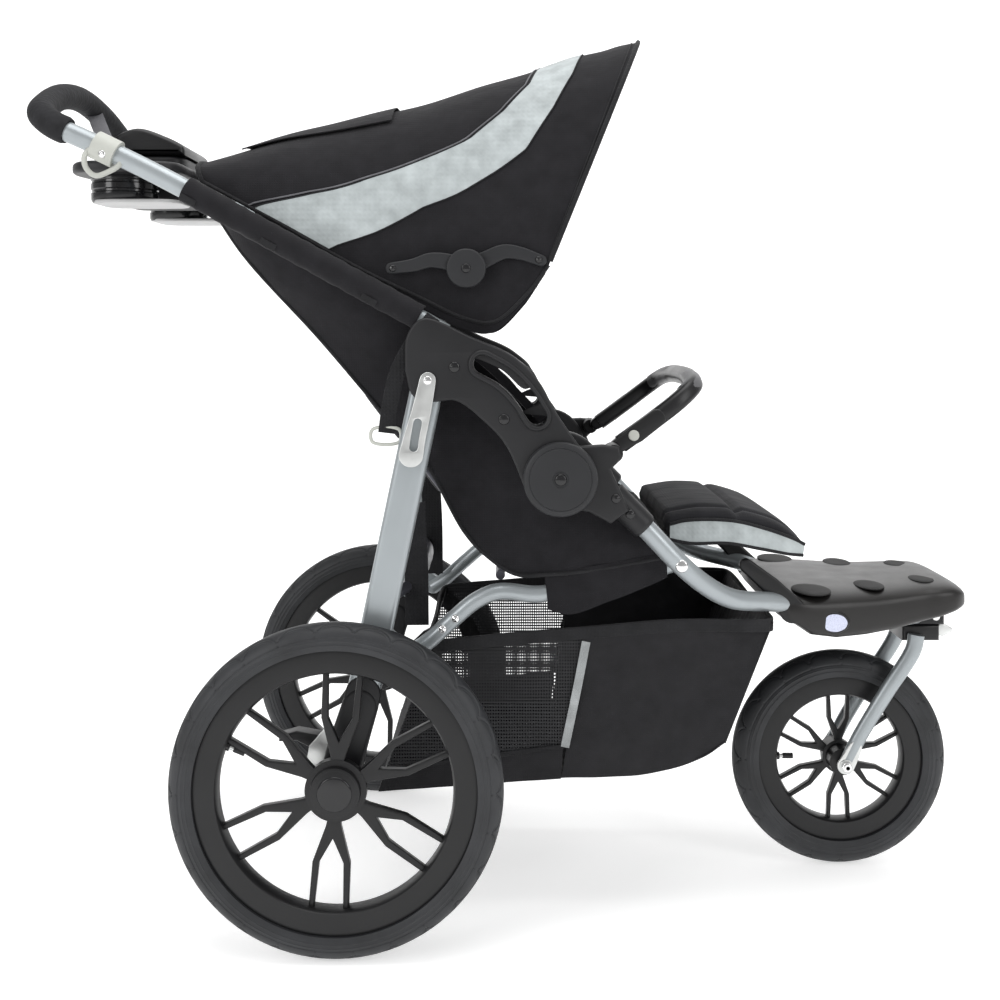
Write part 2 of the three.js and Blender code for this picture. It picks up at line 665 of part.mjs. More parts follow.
buildRearWheels();
buildFrontWheel();
buildFork();
buildSwivelBlock();
buildFrontTubes();
buildFrontSockets();
buildFootrest();
buildLinkTubes();
buildHandle();
buildHousings();
buildTray();
buildCanopyFabric();
buildCanopyFrame();
buildSeat();
buildBasket();
buildArmBar();
buildRearFrame();

export default stroller;
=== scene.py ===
# %% [markdown]
# # A folding jogging stroller
# The CAD frame gives every size, joint and place. This notebook builds the looks around it:
# painted tubes, moulded plastics, air tyres, and all the sewn goods, each as its own piece.
# The frame is loaded first, because later cells read the fold pivot from its joints and hide the CAD
# parts they replace.

# %% Load the frame
import json
import math
import bpy
import bmesh
import numpy as np
from mathutils import Vector, Matrix, noise


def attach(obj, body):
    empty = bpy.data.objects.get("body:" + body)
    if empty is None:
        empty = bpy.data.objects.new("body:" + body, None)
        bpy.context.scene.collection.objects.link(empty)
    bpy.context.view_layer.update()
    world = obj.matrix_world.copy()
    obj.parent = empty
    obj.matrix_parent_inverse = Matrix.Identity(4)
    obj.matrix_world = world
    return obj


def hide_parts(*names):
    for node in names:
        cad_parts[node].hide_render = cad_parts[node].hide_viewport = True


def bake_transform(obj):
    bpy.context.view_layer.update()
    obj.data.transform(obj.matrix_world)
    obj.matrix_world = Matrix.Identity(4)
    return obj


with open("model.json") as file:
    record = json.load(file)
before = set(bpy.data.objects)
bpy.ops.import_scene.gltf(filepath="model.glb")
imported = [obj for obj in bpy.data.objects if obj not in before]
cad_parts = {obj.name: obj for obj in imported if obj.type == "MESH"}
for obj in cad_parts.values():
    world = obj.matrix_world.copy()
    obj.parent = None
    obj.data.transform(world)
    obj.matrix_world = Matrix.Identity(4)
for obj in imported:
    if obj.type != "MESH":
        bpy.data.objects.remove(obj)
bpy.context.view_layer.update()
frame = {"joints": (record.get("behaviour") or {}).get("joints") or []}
scene = bpy.context.scene
joints = {j["name"]: j for j in frame["joints"]}

# %% [markdown]
# The stroller is drawn in millimetres from a side view, as a frame maker would. `at` turns a
# drawing point (x, y, z) into metres in the frame. Both sides are built by one loop: the right
# side is -1 and the left is +1.

# %% Drawing units
MM = 0.001
ORIGIN_SHIFT = 3.0
SIDES = (("right", -1), ("left", 1))


def at(x, y, z):
    return Vector(((x + ORIGIN_SHIFT) * MM, y * MM, z * MM))


FOLD = joints["frame_fold"]["pos_m"]
FOLD_XZ = (FOLD[0] / MM - ORIGIN_SHIFT, FOLD[2] / MM)
LEG_XZ = (-98, 687)
CANOPY_XZ = (-53, 824)
REAR_HUB = (-206, 200)
FRONT_HUB = (463, 149)
TUBE = 12.5
print("fold pivot", FOLD_XZ)

# %% [markdown]
# ## Camera, floor and light
# The stroller stands side-on to a level lens. A level camera with a shifted frame keeps the
# wheels round and the legs upright, as a product photographer's shift lens does.

# %% Camera
CAMERA_DISTANCE = 1832
CAMERA_HEIGHT = 746.5
camera_data = bpy.data.cameras.new("side_camera")
camera_data.lens = 46.8
camera_data.sensor_width = 36
camera_data.shift_x = -0.009
camera_data.shift_y = -0.169
camera_data.clip_end = 50
camera = bpy.data.objects.new("side_camera", camera_data)
camera.location = at(0, -CAMERA_DISTANCE, CAMERA_HEIGHT)
camera.rotation_euler = (math.radians(90), 0, 0)
scene.collection.objects.link(camera)
scene.camera = camera

# %% [markdown]
# The studio is a pale floor that curves up into a backdrop, a large soft light overhead, and
# two side panels that draw long highlights on the tubes.

# %% Floor and lights
def simple_material(name, color, roughness):
    material = bpy.data.materials.new(name)
    material.use_nodes = True
    shader = material.node_tree.nodes["Principled BSDF"]
    shader.inputs["Base Color"].default_value = (*color, 1)
    shader.inputs["Roughness"].default_value = roughness
    return material


def studio_sweep():
    profile = [(-6.0, -0.001), (3.2, -0.001)]
    radius = 1.2
    for k in range(1, 13):
        a = k / 12 * math.pi / 2
        profile.append((3.2 + radius * math.sin(a), -0.001 + radius * (1 - math.cos(a))))
    profile.append((3.2 + radius, 7.0))
    verts = [(x, y, z) for y, z in profile for x in (-9, 9)]
    faces = [(2 * i, 2 * i + 1, 2 * i + 3, 2 * i + 2) for i in range(len(profile) - 1)]
    mesh = bpy.data.meshes.new("studio_sweep")
    mesh.from_pydata(verts, [], faces)
    for polygon in mesh.polygons:
        polygon.use_smooth = True
    sweep = bpy.data.objects.new("studio_sweep", mesh)
    paper = simple_material("studio_paper", (0.8, 0.8, 0.8), 0.95)
    shader = paper.node_tree.nodes["Principled BSDF"]
    shader.inputs["Emission Color"].default_value = (1, 1, 1, 1)
    shader.inputs["Emission Strength"].default_value = 0.5
    mesh.materials.append(paper)
    scene.collection.objects.link(sweep)


def area_light(name, place, size, power, target=(0, 0, 0.55)):
    data = bpy.data.lights.new(name, "AREA")
    data.shape = "RECTANGLE"
    data.size, data.size_y = size
    data.energy = power
    light = bpy.data.objects.new(name, data)
    light.location = place
    aim = Vector(target) - Vector(place)
    light.rotation_euler = aim.to_track_quat("-Z", "Y").to_euler()
    scene.collection.objects.link(light)


studio_sweep()
area_light("overhead", (0.1, -0.3, 3.3), (3.0, 2.2), 62)
area_light("front_left", (-2.6, -2.6, 1.9), (1.2, 2.2), 42)
area_light("front_right", (2.6, -2.4, 1.9), (1.1, 2.2), 34)
area_light("backdrop", (0, 1.2, 3.2), (3.5, 1.0), 45, target=(0, 4.2, 1.2))
scene.view_settings.view_transform = "Standard"
world = bpy.data.worlds.new("studio")
world.use_nodes = True
world.node_tree.nodes["Background"].inputs[0].default_value = (1, 1, 1, 1)
world.node_tree.nodes["Background"].inputs[1].default_value = 0.42
scene.world = world

# %% [markdown]
# ## Finishes
# Each finish is a small node tree. `finish` makes the shader, and `grain` adds bump and a
# little colour change from noise, because no moulded or painted surface is one even colour.

# %% Material helpers
def finish(name, color, roughness, metallic=0.0, **sockets):
    material = bpy.data.materials.new(name)
    material.use_nodes = True
    shader = material.node_tree.nodes["Principled BSDF"]
    shader.inputs["Base Color"].default_value = (*color, 1)
    shader.inputs["Roughness"].default_value = roughness
    shader.inputs["Metallic"].default_value = metallic
    for socket, value in sockets.items():
        shader.inputs[socket.replace("_", " ")].default_value = value
    return material


def node(material, kind, **values):
    made = material.node_tree.nodes.new(kind)
    for key, value in values.items():
        if key in made.inputs:
            made.inputs[key].default_value = value
        else:
            setattr(made, key, value)
    return made


def wire(material, source, target):
    material.node_tree.links.new(source, target)


def place_coordinates(material, scale=(1, 1, 1), rotation=(0, 0, 0)):
    coordinates = node(material, "ShaderNodeTexCoord")
    mapping = node(material, "ShaderNodeMapping")
    mapping.inputs["Scale"].default_value = scale
    mapping.inputs["Rotation"].default_value = rotation
    wire(material, coordinates.outputs["Object"], mapping.inputs["Vector"])
    return mapping.outputs["Vector"]


def vary_color(material, color, spread, scale, detail=3.0):
    shader = material.node_tree.nodes["Principled BSDF"]
    vector = place_coordinates(material)
    cloud = node(material, "ShaderNodeTexNoise", Scale=scale, Detail=detail)
    wire(material, vector, cloud.inputs["Vector"])
    ramp = node(material, "ShaderNodeValToRGB")
    low = tuple(max(c * (1 - spread), 0) for c in color)
    high = tuple(min(c * (1 + spread), 1) for c in color)
    ramp.color_ramp.elements[0].position = 0.3
    ramp.color_ramp.elements[0].color = (*low, 1)
    ramp.color_ramp.elements[1].position = 0.7
    ramp.color_ramp.elements[1].color = (*high, 1)
    wire(material, cloud.outputs["Fac"], ramp.inputs["Fac"])
    wire(material, ramp.outputs["Color"], shader.inputs["Base Color"])


def vary_roughness(material, low, high, scale):
    shader = material.node_tree.nodes["Principled BSDF"]
    vector = place_coordinates(material)
    cloud = node(material, "ShaderNodeTexNoise", Scale=scale, Detail=4.0)
    spread = node(material, "ShaderNodeMapRange")
    spread.inputs["To Min"].default_value = low
    spread.inputs["To Max"].default_value = high
    wire(material, vector, cloud.inputs["Vector"])
    wire(material, cloud.outputs["Fac"], spread.inputs["Value"])
    wire(material, spread.outputs["Result"], shader.inputs["Roughness"])


def add_bump(material, height, strength, distance):
    shader = material.node_tree.nodes["Principled BSDF"]
    bump = node(material, "ShaderNodeBump", Strength=strength, Distance=distance)
    wire(material, height, bump.inputs["Height"])
    earlier = shader.inputs["Normal"].links
    if earlier:
        wire(material, earlier[0].from_socket, bump.inputs["Normal"])
    wire(material, bump.outputs["Normal"], shader.inputs["Normal"])


def grain(material, scale, strength, distance=0.0004, detail=2.0):
    vector = place_coordinates(material)
    speckle = node(material, "ShaderNodeTexNoise", Scale=scale, Detail=detail)
    wire(material, vector, speckle.inputs["Vector"])
    add_bump(material, speckle.outputs["Fac"], strength, distance)


# %% [markdown]
# ### Painted and bare metal
# The tubes are aluminium with a satin silver lacquer. Real lacquer holds fine flakes, so the
# shader is part metallic with a fine sparkle in its roughness. Bare zinc parts are shinier.

# %% Metals
SILVER = (0.36, 0.39, 0.405)
silver_paint = finish("silver_paint", SILVER, 0.36, 0.55)
vary_color(silver_paint, SILVER, 0.06, 9)
vary_roughness(silver_paint, 0.3, 0.44, 60)
grain(silver_paint, 1800, 0.06, 0.0002)
dark_tube = finish("dark_tube", (0.07, 0.07, 0.085), 0.36, 0.5)
vary_roughness(dark_tube, 0.3, 0.45, 50)
zinc = finish("zinc", (0.66, 0.67, 0.66), 0.3, 0.9)
vary_color(zinc, (0.66, 0.67, 0.66), 0.1, 40)
vary_roughness(zinc, 0.22, 0.42, 120)
chrome = finish("chrome", (0.78, 0.78, 0.78), 0.14, 1.0)
vary_roughness(chrome, 0.1, 0.22, 200)
print("metals ready")

# %% [markdown]
# ### Moulded plastics
# Housings are spark-eroded nylon: matte, with a fine even grain. The rims and the arm bar are
# a little glossier. Clips and buttons are a natural ivory nylon.

# %% Plastics
def moulded(name, color, roughness, grain_scale=900, strength=0.25):
    material = finish(name, color, roughness, Specular_IOR_Level=0.38)
    vary_color(material, color, 0.12, 14)
    vary_roughness(material, roughness - 0.06, roughness + 0.08, 35)
    grain(material, grain_scale, strength, 0.0003)
    return material


black_moulded = moulded("black_moulded", (0.0105, 0.0105, 0.0118), 0.47)
black_satin = moulded("black_satin", (0.0085, 0.0085, 0.0092), 0.36, strength=0.12)
grey_moulded = moulded("grey_moulded", (0.0175, 0.018, 0.020), 0.5)
deck_plastic = moulded("deck_plastic", (0.013, 0.012, 0.0115), 0.36)
deck_grip = moulded("deck_grip", (0.012, 0.0115, 0.0115), 0.7, 300, 0.6)
pad_grey = moulded("pad_grey", (0.11, 0.11, 0.115), 0.5)
lip_grey = moulded("lip_grey", (0.42, 0.42, 0.42), 0.4, strength=0.1)
ivory = moulded("ivory", (0.50, 0.51, 0.47), 0.42, strength=0.1)
gloss_black = finish("gloss_black", (0.008, 0.008, 0.009), 0.16)
grain(gloss_black, 300, 0.05)
print("plastics ready")

# %% [markdown]
# ### Rubber and foam
# Tyre rubber is a grey black with faint bloom. The grip is closed-cell foam pressed with small
# cells, which a voronoi bump gives.

# %% Rubber and foam
RUBBER = (0.021, 0.022, 0.0245)
rubber = finish("tyre_rubber", RUBBER, 0.52, Specular_IOR_Level=0.42)
vary_color(rubber, RUBBER, 0.3, 22)
vary_roughness(rubber, 0.42, 0.62, 30)
grain(rubber, 700, 0.3, 0.0004)
foam = finish("grip_foam", (0.016, 0.016, 0.018), 0.85, Specular_IOR_Level=0.3)
vary_color(foam, (0.016, 0.016, 0.018), 0.25, 60)
cells = node(foam, "ShaderNodeTexVoronoi", Scale=150.0)
wire(foam, place_coordinates(foam), cells.inputs["Vector"])
add_bump(foam, cells.outputs["Distance"], 0.55, 0.0012)
reflector = finish("reflector_lens", (0.62, 0.65, 0.82), 0.18, 0.0, Coat_Weight=0.8)
prisms = node(reflector, "ShaderNodeTexVoronoi", Scale=420.0)
wire(reflector, place_coordinates(reflector), prisms.inputs["Vector"])
add_bump(reflector, prisms.outputs["Distance"], 0.9, 0.0012)
print("rubber ready")

# %% [markdown]
# ### Cloth
# The black cloth is a plain-weave polyester. Two crossed waves give the yarns, and a slow
# noise gives the slack that sewn cloth always has. The weave needs no UVs: it is cut from
# the side-view plane, which the panels nearly lie in.

# %% Cloth finishes
def woven(name, color, pitch, roughness=0.88, slack=0.5, weave=0.35, sheen=0.05):
    material = finish(name, color, roughness, Sheen_Weight=sheen, Sheen_Roughness=0.5,
                      Specular_IOR_Level=0.22)
    vary_color(material, color, 0.18, 45, 5.0)
    waves = []
    for turn in (0.0, math.pi / 2):
        vector = place_coordinates(material, rotation=(0, turn, 0))
        wave = node(material, "ShaderNodeTexWave", bands_direction="X")
        wave.inputs["Scale"].default_value = 1 / (pitch * MM) / 20 * math.pi
        wave.inputs["Distortion"].default_value = 0.6
        wave.inputs["Detail"].default_value = 1.0
        wire(material, vector, wave.inputs["Vector"])
        waves.append(wave)
    yarns = node(material, "ShaderNodeMath", operation="MULTIPLY")
    wire(material, waves[0].outputs["Fac"], yarns.inputs[0])
    wire(material, waves[1].outputs["Fac"], yarns.inputs[1])
    add_bump(material, yarns.outputs[0], weave, 0.0005)
    ripple = node(material, "ShaderNodeTexNoise", Scale=11.0, Detail=3.0)
    wire(material, place_coordinates(material, scale=(1, 1.5, 1)), ripple.inputs["Vector"])
    add_bump(material, ripple.outputs["Fac"], slack, 0.012)
    return material


black_cloth = woven("black_cloth", (0.0125, 0.0120, 0.0140), 1.5)
seat_cloth = woven("seat_cloth", (0.0155, 0.0155, 0.018), 1.7, slack=0.35)
basket_cloth = woven("basket_cloth", (0.0115, 0.0112, 0.013), 1.3, 0.6, 0.9)
binding = woven("binding", (0.0165, 0.0165, 0.018), 2.4, 0.8, 0.1, 0.6)
silver_cloth = woven("silver_cloth", (0.40, 0.435, 0.44), 3.2, 0.5, 0.35, 0.55, 0.1)
silver_tape = woven("silver_tape", (0.34, 0.355, 0.36), 1.6, 0.5, 0.1, 0.5, 0.1)
piping_grey = woven("piping_grey", (0.13, 0.13, 0.14), 1.2, 0.6, 0.1, 0.5)
webbing = woven("webbing", (0.012, 0.012, 0.0135), 2.2, 0.7, 0.1, 0.9)


def open_mesh(name, color, pitch, hole):
    material = finish(name, color, 0.7)
    vary_color(material, color, 0.2, 60)
    shader = material.node_tree.nodes["Principled BSDF"]
    vector = place_coordinates(material, scale=(1, 0.0, 0.8))
    cells = node(material, "ShaderNodeTexVoronoi", Scale=1 / (pitch * MM), Randomness=0.0)
    wire(material, vector, cells.inputs["Vector"])
    solid = node(material, "ShaderNodeMath", operation="GREATER_THAN")
    solid.inputs[1].default_value = hole
    wire(material, cells.outputs["Distance"], solid.inputs[0])
    wire(material, solid.outputs[0], shader.inputs["Alpha"])
    add_bump(material, cells.outputs["Distance"], 0.4, 0.0006)
    return material


fine_mesh = open_mesh("fine_mesh", (0.012, 0.012, 0.014), 3.4, 0.29)
print("cloth finishes ready")

# %% [markdown]
# ## Mesh tools
# A stroller is mostly tubes, flat mouldings, turned parts and sheets. One helper builds each
# kind as a real mesh with rounded edges. `make` turns points and faces into a shaded piece,
# and `settle` applies modifiers at once so that the final mesh is what is kept.

# %% Making a piece
def make(name, verts, faces, material, angle=38):
    mesh = bpy.data.meshes.new(name)
    mesh.from_pydata([tuple(v) for v in verts], [], faces)
    mesh.update()
    piece = bpy.data.objects.new(name, mesh)
    scene.collection.objects.link(piece)
    mesh.materials.append(material)
    shade(piece, angle)
    return piece


def shade(piece, angle=38):
    for polygon in piece.data.polygons:
        polygon.use_smooth = True
    piece.data.set_sharp_from_angle(angle=math.radians(angle))


def outward(piece):
    solid = bmesh.new()
    solid.from_mesh(piece.data)
    bmesh.ops.remove_doubles(solid, verts=solid.verts, dist=1e-6)
    bmesh.ops.recalc_face_normals(solid, faces=solid.faces)
    solid.to_mesh(piece.data)
    solid.free()


def settle(piece, angle=38):
    graph = bpy.context.evaluated_depsgraph_get()
    final = bpy.data.meshes.new_from_object(piece.evaluated_get(graph))
    piece.modifiers.clear()
    piece.data = final
    shade(piece, angle)
    return piece


def thicken(piece, thickness, offset=0.0, angle=38):
    skin = piece.modifiers.new("thickness", "SOLIDIFY")
    skin.thickness = thickness * MM
    skin.offset = offset
    return settle(piece, angle)


def weld(name, pieces):
    first = pieces[0]
    with bpy.context.temp_override(active_object=first, selected_editable_objects=pieces):
        bpy.ops.object.join()
    first.name = name
    first.data.name = name
    return first


def cloth(piece, length, held, *rests_on):
    """Returns half the summed face area of the sheet; the cut length is not used."""
    area = sum(p.area for p in piece.data.polygons) / 2
    return area


def install(piece, body, slot, *nodes):
    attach(piece, body)
    if nodes:
        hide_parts(*nodes)
    return piece


# %% [markdown]
# Lines are drawn with a few points and smoothed by a Catmull-Rom curve, which passes through
# each point, as a bent tube passes through its bends.

# %% Smooth lines
def smooth_line(points, step=8.0, closed=False):
    pts = [np.array(p, float) for p in points]
    count = len(pts)
    spans = count if closed else count - 1
    out = []
    for i in range(spans):
        b, c = pts[i], pts[(i + 1) % count]
        a = pts[i - 1] if closed or i > 0 else 2 * b - c
        d = pts[(i + 2) % count] if closed or i + 2 < count else 2 * c - b
        knots = [0.0]
        for p, q in ((a, b), (b, c), (c, d)):
            knots.append(knots[-1] + max(np.linalg.norm(q - p), 1e-6) ** 0.5)
        t0, t1, t2, t3 = knots
        pieces = max(int(np.ceil(np.linalg.norm(c - b) / step)), 1)
        for k in range(pieces):
            t = t1 + (t2 - t1) * k / pieces
            a1 = a * (t1 - t) / (t1 - t0) + b * (t - t0) / (t1 - t0)
            a2 = b * (t2 - t) / (t2 - t1) + c * (t - t1) / (t2 - t1)
            a3 = c * (t3 - t) / (t3 - t2) + d * (t - t2) / (t3 - t2)
            b1 = a1 * (t2 - t) / (t2 - t0) + a2 * (t - t0) / (t2 - t0)
            b2 = a2 * (t3 - t) / (t3 - t1) + a3 * (t - t1) / (t3 - t1)
            out.append(b1 * (t2 - t) / (t2 - t1) + b2 * (t - t1) / (t2 - t1))
    if not closed:
        out.append(pts[-1])
    return np.array(out)


def circle(centre, radius, count=32, start=0.0, sweep=2 * math.pi):
    full = abs(sweep - 2 * math.pi) < 1e-6
    steps = count if full else count + 1
    return [(centre[0] + radius * math.cos(start + sweep * k / count),
             centre[1] + radius * math.sin(start + sweep * k / count)) for k in range(steps)]


def capsule(points, radii, count=10):
    """The outline of a strap-like plate along a line, with round ends."""
    pts = np.array(points, float)
    radii = np.broadcast_to(radii, (len(pts),))
    turn = np.gradient(pts, axis=0)
    turn /= np.linalg.norm(turn, axis=1)[:, None]
    side = np.stack([turn[:, 1], -turn[:, 0]], axis=1) * radii[:, None]
    outline = list(map(tuple, pts + side))
    end = math.atan2(side[-1][1], side[-1][0])
    outline += circle(pts[-1], radii[-1], count, end, math.pi)[1:-1]
    outline += list(map(tuple, (pts - side)[::-1]))
    begin = math.atan2(-side[0][1], -side[0][0])
    outline += circle(pts[0], radii[0], count, begin, math.pi)[1:-1]
    return outline


# %% [markdown]
# A tube is a ring of points swept along its line. The ring is carried without twist, so the
# highlights run straight down the tube.

# %% Swept tubes and straps
def sweep(name, line, section, material, scale=None, across=None, closed=False, angle=38,
          capped=True):
    line = np.array([at(*p) for p in line])
    section = np.array(section, float) * MM
    turn = np.gradient(line, axis=0)
    if closed:
        turn = np.roll(line, -1, axis=0) - np.roll(line, 1, axis=0)
    turn /= np.linalg.norm(turn, axis=1)[:, None]
    verts = []
    side = None
    for i, (p, t) in enumerate(zip(line, turn)):
        if across is not None:
            side = np.array(across, float)
        elif side is None:
            side = np.cross(t, (0, 0, 1)) if abs(t[2]) < 0.9 else np.cross(t, (0, 1, 0))
        side = side - t * np.dot(side, t)
        side /= np.linalg.norm(side)
        up = np.cross(side, t)
        size = 1.0 if scale is None else scale[i]
        verts += [p + size * (u * side + v * up) for u, v in section]
    n, m = len(section), len(line)
    faces = []
    for i in range(m if closed else m - 1):
        j = (i + 1) % m
        faces += [(i * n + k, i * n + (k + 1) % n, j * n + (k + 1) % n, j * n + k)
                  for k in range(n)]
    if not closed and capped:
        faces += [tuple(range(n)), tuple(range((m - 1) * n, m * n))]
    piece = make(name, verts, faces, material, angle)
    outward(piece)
    shade(piece, angle)
    return piece


def tube(name, points, radius, material, sides=24, step=7.0, scale=None, capped=True):
    line = smooth_line(points, step)
    ring = circle((0, 0), radius, sides)
    sizes = None
    if scale is not None:
        sizes = [scale(i / (len(line) - 1)) for i in range(len(line))]
    return sweep(name, line, ring, material, sizes, capped=capped)


def strap(name, points, width, thickness, material, across=(0, 1, 0), step=6.0):
    h, t = width / 2, thickness / 2
    ring = [(-h, -t * 0.4), (-h * 0.96, -t), (h * 0.96, -t), (h, -t * 0.4),
            (h, t * 0.4), (h * 0.96, t), (-h * 0.96, t), (-h, t * 0.4)]
    return sweep(name, smooth_line(points, step), ring, material, across=across)


# %% [markdown]
# A plate is a flat outline, with holes if it has any, given thickness and a rounded edge.
# Blender's 2D curve fills the outline and rounds both its edges in one go.

# %% Plates, turned parts and rivets
def plate(name, outlines, y0, y1, material, bevel=1.5, angle=40):
    curve = bpy.data.curves.new(name, "CURVE")
    curve.dimensions = "2D"
    curve.fill_mode = "BOTH"
    thickness = abs(y1 - y0)
    bevel = min(bevel, thickness * 0.48)
    curve.extrude = (thickness / 2 - bevel) * MM
    curve.bevel_depth = bevel * MM
    curve.bevel_resolution = 3
    curve.offset = -bevel * MM
    for outline in outlines:
        spline = curve.splines.new("POLY")
        spline.points.add(len(outline) - 1)
        for point, (x, z) in zip(spline.points, outline):
            point.co = ((x + ORIGIN_SHIFT) * MM, z * MM, 0, 1)
        spline.use_cyclic_u = True
    flat = bpy.data.objects.new(name + "_outline", curve)
    scene.collection.objects.link(flat)
    graph = bpy.context.evaluated_depsgraph_get()
    mesh = bpy.data.meshes.new_from_object(flat.evaluated_get(graph))
    bpy.data.objects.remove(flat)
    turn = Matrix(((1, 0, 0, 0), (0, 0, -1, (y0 + y1) / 2 * MM), (0, 1, 0, 0), (0, 0, 0, 1)))
    mesh.transform(turn)
    piece = bpy.data.objects.new(name, mesh)
    scene.collection.objects.link(piece)
    mesh.materials.clear()
    mesh.materials.append(material)
    outward(piece)
    shade(piece, angle)
    return piece


def side_plate(name, outlines, side, inner, outer, material, bevel=1.5):
    return plate(name, outlines, side * inner, side * outer, material, bevel)


def turned(name, profile, centre, y, material, segments=64, closed=False, angle=32):
    """Turns (radius, distance along y) pairs about the y axis through the centre."""
    verts = []
    for k in range(segments):
        a = 2 * math.pi * k / segments
        verts += [at(centre[0] + r * math.cos(a), y + v, centre[1] + r * math.sin(a))
                  for r, v in profile]
    n = len(profile)
    faces = []
    for k in range(segments):
        j = (k + 1) % segments
        faces += [(k * n + i, k * n + (i + 1) % n, j * n + (i + 1) % n, j * n + i)
                  for i in range(n if closed else n - 1)]
    piece = make(name, verts, faces, material, angle)
    outward(piece)
    shade(piece, angle)
    return piece


def rounded_disc(radius, y0, y1, edge, dome=0.0, steps=5):
    """The profile of a disc from y0 (inner face) to y1 (outer face) with a rounded rim."""
    way = 1 if y1 > y0 else -1
    profile = [(0, y0), (radius, y0)]
    for k in range(steps + 1):
        a = k / steps * math.pi / 2
        profile.append((radius - edge + edge * math.cos(a),
                        y1 - way * (edge + dome) + way * edge * math.sin(a)))
    for k in (0.75, 0.5, 0.25, 0.0):
        r = (radius - edge) * k
        profile.append((r, y1 - way * dome * k * k))
    return profile


def rivet(name, centre, side, y, radius, material, height=2.5):
    profile = rounded_disc(radius, side * y, side * (y + height), height * 0.7, height * 0.25)
    return turned(name, profile, centre, 0, material, 24)


# %% [markdown]
# A sheet is a grid of points. Cloth gets a little slack from smooth noise, so that no panel
# is flat, and then a real thickness.

# %% Sheets of cloth
def slack(point, amount, pitch, seed=0.0):
    sample = Vector(point) / (pitch * MM) + Vector((seed, 2.3 * seed, 0.7 * seed))
    return noise.noise(sample) * amount * MM


def grid_sheet(name, rows, material, thickness=1.6, ripple=(0.0, 60.0), seed=1.0, offset=0.0):
    rows = [[Vector(p) for p in row] for row in rows]
    amount, pitch = ripple
    n, m = len(rows[0]), len(rows)
    if amount:
        rows = [[p + Vector((0, math.copysign(1, p.y), 0)) * slack(p, amount, pitch, seed)
                 for p in row] for row in rows]
    verts = [p for row in rows for p in row]
    faces = [(i * n + k, i * n + k + 1, (i + 1) * n + k + 1, (i + 1) * n + k)
             for i in range(m - 1) for k in range(n - 1)]
    piece = make(name, verts, faces, material, 60)
    outward(piece)
    return thicken(piece, thickness, offset, 60)


def between(first, second, rows, columns, bulge=None):
    """Points of a sheet stretched between two lines, each resampled evenly."""
    a, b = resample(first, rows), resample(second, rows)
    out = []
    for i in range(rows):
        row = []
        for k in range(columns):
            t = k / (columns - 1)
            p = a[i] * (1 - t) + b[i] * t
            if bulge:
                p = p + np.array(bulge(i / (rows - 1), t), float)
            row.append(at(*p))
        out.append(row)
    return out


def resample(points, count):
    line = smooth_line(points, 4.0)
    lengths = np.r_[0, np.cumsum(np.linalg.norm(np.diff(line, axis=0), axis=1))]
    marks = np.linspace(0, lengths[-1], count)
    return np.stack([np.interp(marks, lengths, line[:, k]) for k in range(3)], axis=1)


print("tools ready")

# %% [markdown]
# ## Wheels
# An air tyre is a flattened ring with a scalloped tread that wraps over its shoulder. The
# section is an ellipse, and each scallop is a shallow groove pressed into the surface, so
# the pattern is real geometry. A texture alone would leave the silhouette smooth.

# %% Tyres
TYRE_WRAP = 118
WHEEL_OFFSET = 282


def tyre(name, centre, y, outer, inner, half_width, scallops):
    section_steps = 112
    around = scallops * 30
    middle = inner + (outer - inner) * 0.36
    reach = outer - middle
    limit = math.radians(TYRE_WRAP)
    verts = []
    for i in range(around):
        a = 2 * math.pi * i / around
        u = (i / around * scallops) % 1.0 * 2 - 1
        for k in range(section_steps):
            phi = -limit + 2 * limit * k / (section_steps - 1)
            lift = tread(abs(phi), u)
            r = middle + (reach + lift) * math.cos(phi)
            v = (half_width + lift) * math.sin(phi)
            verts.append(at(centre[0] + r * math.cos(a), y + v, centre[1] + r * math.sin(a)))
    n = section_steps
    faces = []
    for i in range(around):
        j = (i + 1) % around
        faces += [(i * n + k, i * n + (k + 1) % n, j * n + (k + 1) % n, j * n + k)
                  for k in range(n)]
    piece = make(name, verts, faces, rubber, 50)
    outward(piece)
    shade(piece, 50)
    return piece


def tread(phi, u):
    """Height of the tread, in mm, at angle phi from the crown and u across one scallop."""
    arc = math.radians(70) - math.radians(52) * math.sqrt(max(1 - u * u, 0))
    groove = math.exp(-((phi - arc) / 0.05) ** 2)
    inner = math.exp(-((phi - arc - 0.2) / 0.03) ** 2) if abs(u) < 0.8 else 0
    edge = math.exp(-((phi - math.radians(74)) / 0.035) ** 2)
    ribs = math.exp(-((phi - math.radians(84)) / 0.03) ** 2)
    ribs += math.exp(-((phi - math.radians(97)) / 0.03) ** 2)
    return -1.6 * groove - 0.6 * inner - 0.8 * edge + 0.6 * ribs


# %% [markdown]
# The rims are moulded nylon with six spokes, each forked like a tuning fork. Each fork is a
# plate with rounded edges, which gives the crisp facets that catch the light. The ring and
# the hub are turned.

# %% Rims
def spoke_fork(hub, inner, spread, prong):
    kink = hub + (inner - hub) * 0.47
    crotch = hub + (inner - hub) * 0.2
    right = [(hub * 0.7, spread * 0.34), (hub * 1.15, spread * 0.5), (kink, spread + prong),
             (inner + 3, spread * 1.12 + prong * 0.8), (inner + 3, spread * 1.12 - prong * 0.8),
             (kink, spread - prong), (crotch, 0)]
    left = [(r, -s) for r, s in right[:-1]]
    return right + left[::-1]


